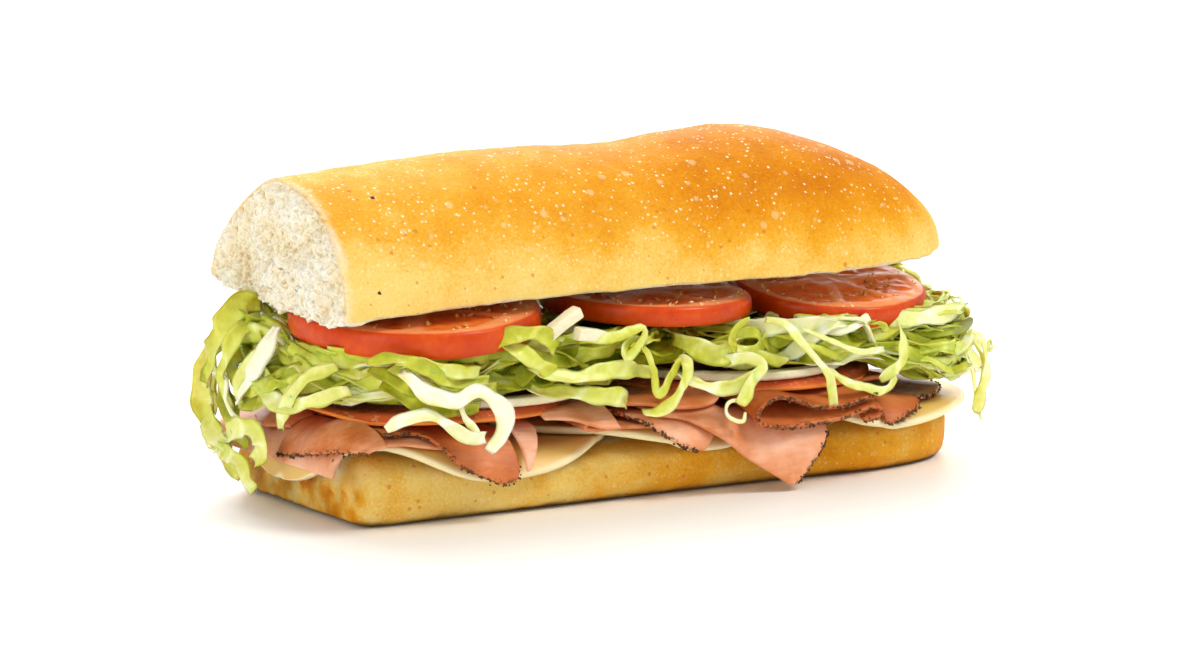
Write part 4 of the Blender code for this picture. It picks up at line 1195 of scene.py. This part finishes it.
HEROES = (
    (((-34.3, -39, 42), (-29.9, -42, 42.5), (-24.6, -43.5, 43.2), (-18.2, -42, 44.5), (-17.6, -42, 42.2),
      (-21.2, -43.5, 38.8), (-23.8, -44, 37.9), (-23.7, -43, 39.9), (-19.6, -41, 41.8), (-16.8, -42, 40)), 2.6, 0.55),
    (((-17.9, -41, 39.9), (-17.5, -44, 37.8), (-16.7, -45.5, 33.8), (-16.4, -46, 29), (-14.1, -46, 29.2),
      (-11.8, -45.5, 32.9), (-7, -43, 35.6)), 3.0, 0.5),
    (((-47.2, -38, 36.4), (-45.4, -42, 35.5), (-38.2, -43.5, 33.9), (-30.9, -43.5, 34.7), (-23.4, -43, 34.8),
      (-13.7, -40, 32.6)), 4.2, 0.58),
    (((-47.8, -38, 31.5), (-44.8, -41, 30.7), (-37.3, -42, 30), (-30.2, -42.5, 28.7), (-24.2, -42, 27.8),
      (-19.7, -38, 24.9)), 4.2, 0.6),
    (((-19.2, -44.5, 23.6), (-14.9, -45.5, 24.1), (-11.2, -46, 26.5), (-7.7, -45.5, 31.1), (-6.1, -43.5, 35.1),
      (-6.8, -40, 35.9)), 3.2, 0.62),
    (((-5.5, -38, 31.8), (-4, -42, 30), (1.5, -43.5, 28), (8.6, -43, 27.6), (13, -44, 29.6), (16, -44, 32.3),
      (13.8, -41, 34.1), (8.1, -38, 33.2)), 3.6, 0.72),
    (((19.3, -40, 32.5), (14.2, -44, 30.2), (10.8, -45.5, 27.2), (8.1, -46, 23.6)), 3.8, 0.6),
    (((9.7, -44.5, 24.5), (5.5, -45.5, 24.5), (4, -46, 22.4), (6.1, -46, 20), (9.4, -45.5, 19.4),
      (10.9, -44.5, 21.3)), 1.1, 0.85),
    (((20.9, -38, 42.7), (24.5, -42, 41.6), (28.2, -44.5, 36.6), (32.4, -45.5, 31.9), (35.1, -46, 27.5),
      (36.4, -46, 21)), 2.8, 0.66),
    (((38.7, -40, 28.9), (41.9, -43, 26.2), (48.3, -44, 23.8), (53.6, -43.5, 23), (59.4, -41, 25.7)), 2.8, 0.66),
    (((11.3, -39, 35.6), (8.4, -42, 39.2), (9.1, -43, 42.2), (14.7, -40, 43.9)), 1.8, 0.45),
    (((30.6, -38, 40.7), (34.7, -40, 38.3), (41, -41, 35.4), (48.1, -41, 32.8), (57.5, -38, 32.4)), 1.8, 0.8),
    (((63, -36, 38.5), (62, -40, 36), (60.8, -41.5, 33), (60, -42, 29.3), (54.1, -41, 25.1)), 3.0, 0.62),
    (((66, -30, 38), (74, -33, 37), (84, -32, 33), (92, -29, 27), (96, -27, 22)), 4.4, 0.72),
    (((70, -33, 34), (78, -35, 31), (87, -31, 30), (95, -26, 32)), 4.0, 0.5),
    (((-90, -36, 39.6), (-84.4, -40.5, 36), (-76.6, -43, 33.7), (-68.4, -43.5, 32.2), (-58, -41, 32.7)), 4.0, 0.18),
    (((-88, -38, 35.9), (-82.1, -42.5, 31.9), (-75.3, -44, 29.5), (-64, -43, 29)), 3.6, 0.2),
    (((-83.9, -40, 38.8), (-82.6, -43.5, 36.8), (-78.7, -45, 33.3), (-72.5, -46, 31.7), (-66.6, -46.5, 33.4),
      (-62, -47, 30.7), (-59.5, -47, 26.2), (-60.9, -47, 22), (-63.6, -46.5, 18.8)), 4.4, 0.95),
    (((-71.2, -45.5, 31.8), (-69.6, -46, 27.4), (-66.6, -46.5, 23.6)), 1.8, 0.92),
    (((-89.4, -43, 25.9), (-85.7, -45, 28.3), (-78.7, -46, 28.7), (-73.7, -46.5, 25.5), (-68.8, -46.5, 22.6),
      (-64.2, -46, 22.4)), 3.4, 0.88),
    (((-57.7, -38, 44.5), (-54.6, -42, 42.3), (-49.4, -44, 38.8), (-42.3, -42, 34.5)), 4.4, 0.5),
    (((-59.4, -38, 42.4), (-56.5, -42, 44.9), (-50.5, -43.5, 45.8), (-45.4, -42, 44.5), (-40.5, -39, 40.3)), 4.2, 0.4),
    (((-84.1, -38, 40.9), (-77.7, -41, 40), (-70.2, -42, 37.9), (-62.2, -40, 36.9)), 3.4, 0.6),
    (((-91.8, -38, 41.5), (-85.7, -41, 42.2), (-78.3, -42, 39.5), (-70.2, -42, 35), (-59.5, -40, 34.8)), 3.4, 0.4),
)

LEFT_HEROES = (
    (((-96, -1.7, 45.8), (-99.5, -3.2, 41.6), (-101.5, -0.1, 35.8), (-102, 9.3, 26.2)), 4.0, 0.95),
    (((-93, 12.4, 49.2), (-98, 12.7, 49.5), (-101, 16.1, 44.9), (-102, 22, 36.8), (-102, 25.6, 28.2)), 6.0, 0.4),
    (((-94, 12.8, 44.8), (-100, 10.6, 43.6), (-102, 13.3, 38), (-102, 16.7, 30.6), (-101, 13.5, 23.1)), 4.0, 0.6),
    (((-98, 30.2, 30.4), (-102, 14.6, 30.9), (-102.5, 13.7, 26.1), (-102, 9.4, 22.3), (-99, 1.5, 21.7)), 1.2, 0.95),
    (((-99, 25.5, 11.6), (-103, 9.7, 19.4), (-103.5, -2, 21.7), (-103, -6.2, 17.8), (-102, 0.1, 12.9)), 5.0, 0.62),
    (((-98, 31.9, 13.1), (-103, 14.2, 13.3), (-103.4, 4.7, 12.4), (-103.3, 1.5, 8.4), (-102, -0.7, 6.1)), 4.0, 0.55),
    (((-97, 36.9, 24.4), (-101, 27.8, 21), (-102.5, 19.5, 16.4), (-102, 11.8, 14.5)), 5.0, 0.65),
    (((-94, 1.3, 40.4), (-99, 1, 39.8), (-101, 5.7, 35), (-101.5, 9.2, 28.7), (-99, 8.9, 23.6)), 3.0, 0.7),
    (((-86, 18, 41), (-95.5, 25, 41), (-101, 28, 33), (-101.5, 28, 22), (-99.5, 23, 12.5), (-98.5, 15, 6.5)), 5.0, 0.5),
    (((-86, -22, 37), (-97, -18, 34.5), (-99.5, -8, 32.5), (-98, 4, 34.5), (-86, 12, 37)), 5.0, 0.45),
    (((-84, 8, 40), (-96, 9, 45), (-98, 17, 46), (-98.5, 27, 38.5), (-96, 33, 28), (-95.5, 34, 19)), 5.0, 0.3),
    (((-94, -14, 37), (-99, -9, 33), (-100.5, -2, 28.5), (-100, 6, 26.5), (-98.5, 14, 28)), 4.6, 0.35),
    (((-92, -30, 34), (-98, -22, 30.5), (-100.5, -12, 28.5), (-100.5, -2, 31), (-99, 8, 35.5)), 4.2, 0.65),
    (((-92, 20, 38), (-99, 17, 34), (-100.5, 10, 31), (-101, 2, 30.5), (-100, -8, 33.5), (-97, -16, 38)), 4.4, 0.3),
    (((-93, -26, 39), (-98.5, -21, 36), (-100, -16, 31), (-100.5, -12, 26), (-99.5, -10, 22)), 3.6, 0.6),
    (((-93, 26, 33), (-100, 20, 29), (-101.5, 12, 22), (-101, 6, 15.5)), 4.6, 0.25),
)

RIGHT_HEROES = (
    (((80, -24, 36), (91, -26, 33), (99, -24, 26), (102.5, -21, 20), (102, -20, 14), (99, -22, 10)), 5.0, 0.62),
    (((86, -6, 37), (97, -6, 35.5), (107, -7, 30), (113, -7, 25.5), (113.5, -6, 19), (107, -5, 17.5)), 2.0, 0.72),
    (((84, -12, 38), (94, -14, 34), (102.5, -14, 24), (106, -13, 14), (108, -13, 6)), 1.8, 0.75),
    (((62, -32, 34), (69, -35.5, 30), (76, -34.5, 27), (83, -31, 27.5), (90, -26, 25)), 4.8, 0.45),
    (((70, -28, 36), (75, -34, 31), (77, -35, 26.5), (80, -32, 25)), 4.4, 0.6),
    (((66, -18, 31), (71, -23, 26), (78, -26, 23.5), (86, -23, 25)), 5.0, 0.4),
    (((67, -6, 32), (73, -12, 25.5), (80, -15, 24), (87, -12, 26)), 5.0, 0.3),
    (((58, -34, 34), (65, -38, 31), (73, -37, 28.5), (81, -32, 29)), 4.0, 0.35),
    (((88, 2, 38), (95, -5, 36.8), (107, -5, 29.2), (117, -5, 22.9), (116.5, -5, 25.7), (115, -5, 15.8)), 1.6, 0.7),
)


@dataclass
class LettuceHeap:
    """A heap of shreds packed between the onion and the tomato."""

    count: int = 720
    bed_count: int = 150
    seed: int = 11
    half_length: float = 88.0
    half_width: float = 30.0

    def outline(self) -> tuple[Array, Array, Array]:
        """Places, outward directions and run of the heap's rim, a long rounded box seen from above."""
        turn = np.linspace(0, 2 * np.pi, 721)
        cos, sin = np.cos(turn), np.sin(turn)
        rim = np.column_stack([self.half_length * np.sign(cos) * np.abs(cos) ** 0.5,
                               self.half_width * np.sign(sin) * np.abs(sin) ** 0.5])
        rim[:, 1] += loaf_bend(rim[:, 0])
        ahead = unit(np.gradient(rim, axis=0))
        run = np.concatenate([[0], np.cumsum(np.linalg.norm(np.diff(rim, axis=0), axis=1))])
        return rim, np.column_stack([ahead[:, 1], -ahead[:, 0]]), run

    def core(self) -> Skin:
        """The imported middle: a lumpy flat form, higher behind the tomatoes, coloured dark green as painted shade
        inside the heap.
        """
        x = np.concatenate([-91.5 + 10 * (1 - np.cos(np.linspace(0, 1.57, 20))), np.linspace(-80, 78, 120),
                            79 + 13 * np.sin(np.linspace(0, 1.57, 30))])[:, None]
        turn = np.linspace(0, 2 * np.pi, 90, endpoint=False)[None, :]
        width = nose(x, 55, 93, 2.2) * nose(-x, 78, 92, 2.4)
        droop = 4.4 + 7.5 * smooth(70, 80, x)
        section = egg(turn + 0 * x, 30.5 * width, 30.5 * width, 4.4 + 0 * x, droop, (3.6, 3.6, 3.6))
        y, z = section[..., 0], section[..., 1]
        top = (0.1 * (y + 12) + 5 * smooth(17, 27, y) * width) * np.clip(z / 4.4, 0, 1)
        place = np.stack([x + 0 * y, y + loaf_bend(x), 35.4 + z + top], -1)
        lumps = noise(place, 5, 70, 3) * 0.9
        place[..., 1] += np.sign(y) * lumps * np.abs(np.cos(turn)) ** 2 * width
        # A dark green tone: painted shade for the heap's packed inside between the shreds.
        tone = 0.1 + 0.12 * noise(place, 4, 72, 2)
        return capsule(place, {"tone": tone, "vein": 0 * tone})

    def loose(self) -> list[Skin]:
        """Shreds drawn at random round the heap's rim, in layers, some of them curled into loops."""
        draw = np.random.default_rng(self.seed)
        rim, out, run = self.outline()
        crowd = 1 + 2.2 * smooth(64, 76, rim[:, 0]) * smooth(18, 4, rim[:, 1]) + 1.6 * smooth(-84, -88, rim[:, 0])
        chances = np.cumsum(crowd) / crowd.sum()
        skins = []
        for index in range(self.count):
            layer = draw.choice(3, p=[0.3, 0.35, 0.35])
            middle = np.interp(draw.uniform(), chances, run)
            length = draw.uniform(16, 46)
            tilt = draw.normal(0, 0.3)
            loop = draw.uniform(2.2, 4.2) if draw.uniform() < 0.22 else 0.0
            t = np.linspace(0, 1, 9)
            along = length * (t - 0.5) * math.cos(tilt) + loop * np.sin(2 * np.pi * t)
            wave = draw.uniform(0.4, 1.8) * np.sin(2 * np.pi * draw.uniform(0.6, 1.6) * t + draw.uniform(0, 6.3))
            rise = length * (t - 0.5) * math.sin(tilt) + loop * (1 - np.cos(2 * np.pi * t)) + wave
            place = (middle + along) % run[-1]
            x, y = (np.interp(place, run, rim[:, axis]) for axis in range(2))
            nx, ny = (np.interp(place, run, out[:, axis]) for axis in range(2))
            start = (-2.5, 0.5, 3.5)[layer] + draw.uniform(-1.5, 1.5)
            bulge = draw.uniform(1.0, 6.0)
            reach = start + bulge * (1 - (2 * t - 1) ** 2) - draw.uniform(2, 6) * np.abs(2 * t - 1) ** 3
            back = smooth(-5, 12, y)
            px, py = x + nx * reach, y + ny * reach
            clear = np.maximum(smooth(38.8, 41.2, np.abs(py - loaf_bend(x))), smooth(-95.5, -98.5, px))
            low = 31.0 - 5.5 * clear
            low = np.minimum(low, 31 - 3.6 * smooth(56, 60, px) - 5.9 * smooth(72, 79, px))
            high = 41.0 + 6.5 * back + 3.0 * smooth(-94, -98, px)
            z = np.interp(draw.uniform(0, 1), [0, 1], [low.mean(), high.mean()]) + rise
            z = low + (high - low) * (0.5 + 0.5 * np.tanh(1.25 * (2 * (z - low) / (high - low) - 1)))
            points = np.column_stack([x + nx * reach, y + ny * reach, z])
            # Inner layers take a darker tone: painted shade deeper in the heap.
            tone = float(np.clip(draw.normal(0.5, 0.2) - 0.12 * (2 - layer), 0.1, 0.95))
            centre = len(t) // 2
            facing = (nx[centre] + 0.3 * draw.normal(), ny[centre] + 0.3 * draw.normal(), 0.35 + 0.5 * draw.normal())
            shred = Shred(points, draw.uniform(2.4, 5.4), facing, tone,
                          (draw.normal(0, 0.7), draw.normal(0, 0.9)), draw.uniform(-0.2, 0.25), 22, index)
            skins.append(shred.skin())
        return skins

    def bed(self) -> list[Skin]:
        """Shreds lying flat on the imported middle, under the tomatoes."""
        draw = np.random.default_rng(self.seed + 1)
        skins = []
        for index in range(self.bed_count):
            x, y = draw.uniform(-80, 76), draw.uniform(-29, 24)
            turn, length = draw.uniform(0, np.pi), draw.uniform(10, 26)
            t = np.linspace(-0.5, 0.5, 7)
            bend = draw.normal(0, 2.5) * np.cos(np.pi * t)
            px = x + length * t * math.cos(turn) - bend * math.sin(turn)
            py = np.clip(y + length * t * math.sin(turn) + bend * math.cos(turn), -31, 26)
            pz = 40.5 + 0.1 * (py + 12) + 5 * smooth(17, 27, py) + draw.uniform(0, 1.2) + 0.5 * np.sin(9 * t + index)
            points = np.column_stack([px, py + loaf_bend(px), pz])
            facing = (0.25 * draw.normal(), 0.25 * draw.normal(), 1.0)
            tone = float(np.clip(draw.normal(0.35, 0.16), 0.05, 0.8))
            twist = (draw.normal(0, 0.3), draw.normal(0, 0.3))
            skins.append(Shred(points, draw.uniform(3, 5.5), facing, tone, twist, 0.1, 16, 900 + index).skin())
        return skins

    def build(self, finish: bpy.types.Material) -> None:
        """The core, the loose shreds and the long ones that stand out."""
        # The core's dark, nearly matte finish is painted shade inside the heap.
        self.core().show("lettuce_core", lettuce_finish("packed_lettuce_shade", 0.05), Slot.LETTUCE, ("lettuce",))
        loose = self.loose() + self.bed()
        for part, letter in enumerate("abc"):
            Skin.joined(loose[part::3]).show(f"lettuce_shreds_{letter}", finish, Slot.LETTUCE, ("lettuce",))
        groups = ((HEROES, (0, -1, 0.25)), (LEFT_HEROES, (-1, -0.4, 0.2)), (RIGHT_HEROES, (0.6, -0.8, 0.1)))
        long = [Shred(np.array(points), width, facing, tone, (0.5, -0.3), 0.14, 48, 300 + 7 * count).skin()
                for heroes, facing in groups for count, (points, width, tone) in enumerate(heroes)]
        Skin.joined(long).show("lettuce_long", finish, Slot.LETTUCE, ("lettuce",))


# ---- small bits ----


def bits(places: Array, sizes: Array, stretch: tuple[float, float, float], seed: int) -> Skin:
    """Small rough grains: eight-sided solids of a size each, stretched and turned at random."""
    draw = np.random.default_rng(seed)
    corner = np.array([[1, 0, 0], [-1, 0, 0], [0, 1, 0], [0, -1, 0], [0, 0, 1], [0, 0, -1]], float)
    face = np.array([[0, 2, 4], [2, 1, 4], [1, 3, 4], [3, 0, 4], [2, 0, 5], [1, 2, 5], [3, 1, 5], [0, 3, 5]])
    turn = np.linalg.qr(draw.normal(size=(len(places), 3, 3)))[0]
    turn[..., 0] *= np.sign(np.linalg.det(turn))[:, None]
    shape = corner * np.array(stretch) * draw.uniform(0.8, 1.2, (len(places), 6, 1))
    corners = np.einsum("nij,nkj->nki", turn, shape) * sizes[:, None, None] + places[:, None]
    faces = (face[None] + 6 * np.arange(len(places))[:, None, None]).reshape(-1, 3)
    return Skin(corners.reshape(-1, 3), np.column_stack([faces, faces[:, 2]]), faceted=True)


CRUST_MARKS = (
    ("crust_mark_red", (-79.5, -19.3, 77.4), 0.8, colour(120, 32, 12)),
    ("crust_mark_dark", (-86.2, -34.2, 56.9), 0.75, colour(56, 40, 24)),
)


def strew_bits() -> None:
    """Pepper on the ham's rims, seeds in the tomatoes and herbs on them."""
    draw = np.random.default_rng(5)
    pepper = np.vstack([piece.grains(draw) for piece in (*DRAPES, *FOLDS, *END_SLICES)])
    dark = speck_finish("pepper", colour(70, 46, 22), colour(136, 94, 48), 0.7)
    bits(pepper, draw.uniform(0.28, 0.6, len(pepper)), (1, 0.9, 0.8), 6).show("pepper", dark, Slot.HAM)
    seeds = np.vstack([tomato.strewn(draw, 30, True) for tomato in TOMATOES])
    pale = speck_finish("seed", colour(232, 190, 112), colour(206, 140, 60), 0.3)
    bits(seeds, draw.uniform(0.8, 1.1, len(seeds)), (1.2, 0.75, 0.4), 7).show("tomato_seeds", pale, Slot.TOMATO)
    herbs = np.vstack([tomato.strewn(draw, 60, False) for tomato in TOMATOES])
    tan = speck_finish("herb", colour(255, 240, 190), colour(240, 206, 140), 0.6)
    bits(herbs, draw.uniform(0.3, 0.75, len(herbs)), (1.3, 0.5, 0.25), 8).show("herbs", tan, Slot.TOMATO)
    for name, place, size, tint in CRUST_MARKS:
        mark = speck_finish(name, tint, tint, 0.6)
        bits(np.array([place]), np.array([size]), (1.0, 0.9, 0.7), 9).show(name, mark, Slot.CRUST)


# ---- studio ----


@dataclass
class Studio:
    """A pale floor, soft light and the photo's camera."""

    azimuth: float = -32.0
    elevation: float = 8.5
    distance: float = 1.0
    target: tuple[float, float, float] = (-0.00265, 0.00165, 0.037)
    lens: float = 118.2

    def floor(self) -> None:
        """A wide pale plane."""
        size = 6.0
        mesh = bpy.data.meshes.new("floor")
        mesh.from_pydata([(-size, -size, 0), (size, -size, 0), (size, size, 0), (-size, size, 0)], [], [(0, 1, 2, 3)])
        s = Shader("floor_white", Specular_IOR_Level=0.2)
        mesh.materials.append(s.finish(s.mix(s.cloud(60), colour(250, 249, 247), colour(252, 251, 250)), 0.5, None))
        floor = bpy.data.objects.new("floor", mesh)
        bpy.context.scene.collection.objects.link(floor)

    def lamp(self, name: str, place: tuple[float, float, float], size: float, power: float, tint: Tint) -> None:
        """A square soft light that looks at the sandwich."""
        light = bpy.data.lights.new(name, "AREA")
        light.size, light.energy, light.color = size, power, tint[:3]
        lamp = bpy.data.objects.new(name, light)
        lamp.location = place
        aim = np.array(self.target) - np.array(place)
        lamp.rotation_euler = (math.atan2(math.hypot(aim[0], aim[1]), -aim[2]), 0, math.atan2(-aim[0], aim[1]))
        bpy.context.scene.collection.objects.link(lamp)

    def build(self) -> None:
        """Floor, lamps, sky and camera."""
        self.floor()
        warm, white = colour(255, 250, 240), colour(255, 255, 255)
        self.lamp("key", (0.7, -0.8, 1.3), 0.5, 14.5, warm)
        self.lamp("fill", (-1.6, -0.6, 0.5), 1.2, 11, colour(255, 243, 224))
        self.lamp("top", (0.1, 0.7, 1.5), 1.0, 5, white)
        self.lamp("back", (1.4, 4.0, 3.0), 5.0, 260, white)
        world = bpy.data.worlds.new("sky")
        world.use_nodes = True
        world.node_tree.nodes["Background"].inputs[0].default_value = (1, 1, 1, 1)
        world.node_tree.nodes["Background"].inputs[1].default_value = 0.55
        bpy.context.scene.world = world
        bpy.context.scene.view_settings.view_transform = "Standard"
        azimuth, elevation = math.radians(self.azimuth), math.radians(self.elevation)
        back = np.array([math.sin(azimuth) * math.cos(elevation), -math.cos(azimuth) * math.cos(elevation),
                         math.sin(elevation)])
        camera = bpy.data.cameras.new("camera")
        camera.lens, camera.sensor_width = self.lens, 36
        holder = bpy.data.objects.new("camera", camera)
        holder.location = np.array(self.target) + back * self.distance
        holder.rotation_euler = (math.pi / 2 - elevation, 0, azimuth)
        bpy.context.scene.collection.objects.link(holder)
        bpy.context.scene.camera = holder


def main() -> None:
    """Dress every part of the sandwich, in order from the bread up."""
    logging.basicConfig(level=logging.INFO, format="%(message)s")
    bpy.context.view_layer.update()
    bread, cheese, ham, cured = bread_finish(), cheese_finish(), ham_finish(), cured_finish()
    tomato, onion, lettuce = tomato_finish(), onion_finish(), lettuce_finish("lettuce", 0.45)
    UpperBread().build(bread)
    LowerBread().build(bread)
    groups = ((CHEESES, cheese, Slot.CHEESE), ((*DRAPES, *FOLDS, *END_SLICES), ham, Slot.HAM), (CURED, cured, Slot.CURED),
              (TOMATOES, tomato, Slot.TOMATO), (ONIONS, onion, Slot.ONION))
    for pieces, finish, slot in groups:
        for piece in pieces:
            piece.skin().show(f"{piece.node}_dressed", finish, slot, (piece.node,))
    LettuceHeap().build(lettuce)
    strew_bits()
    Studio().build()


if __name__ == "__main__":
    main()
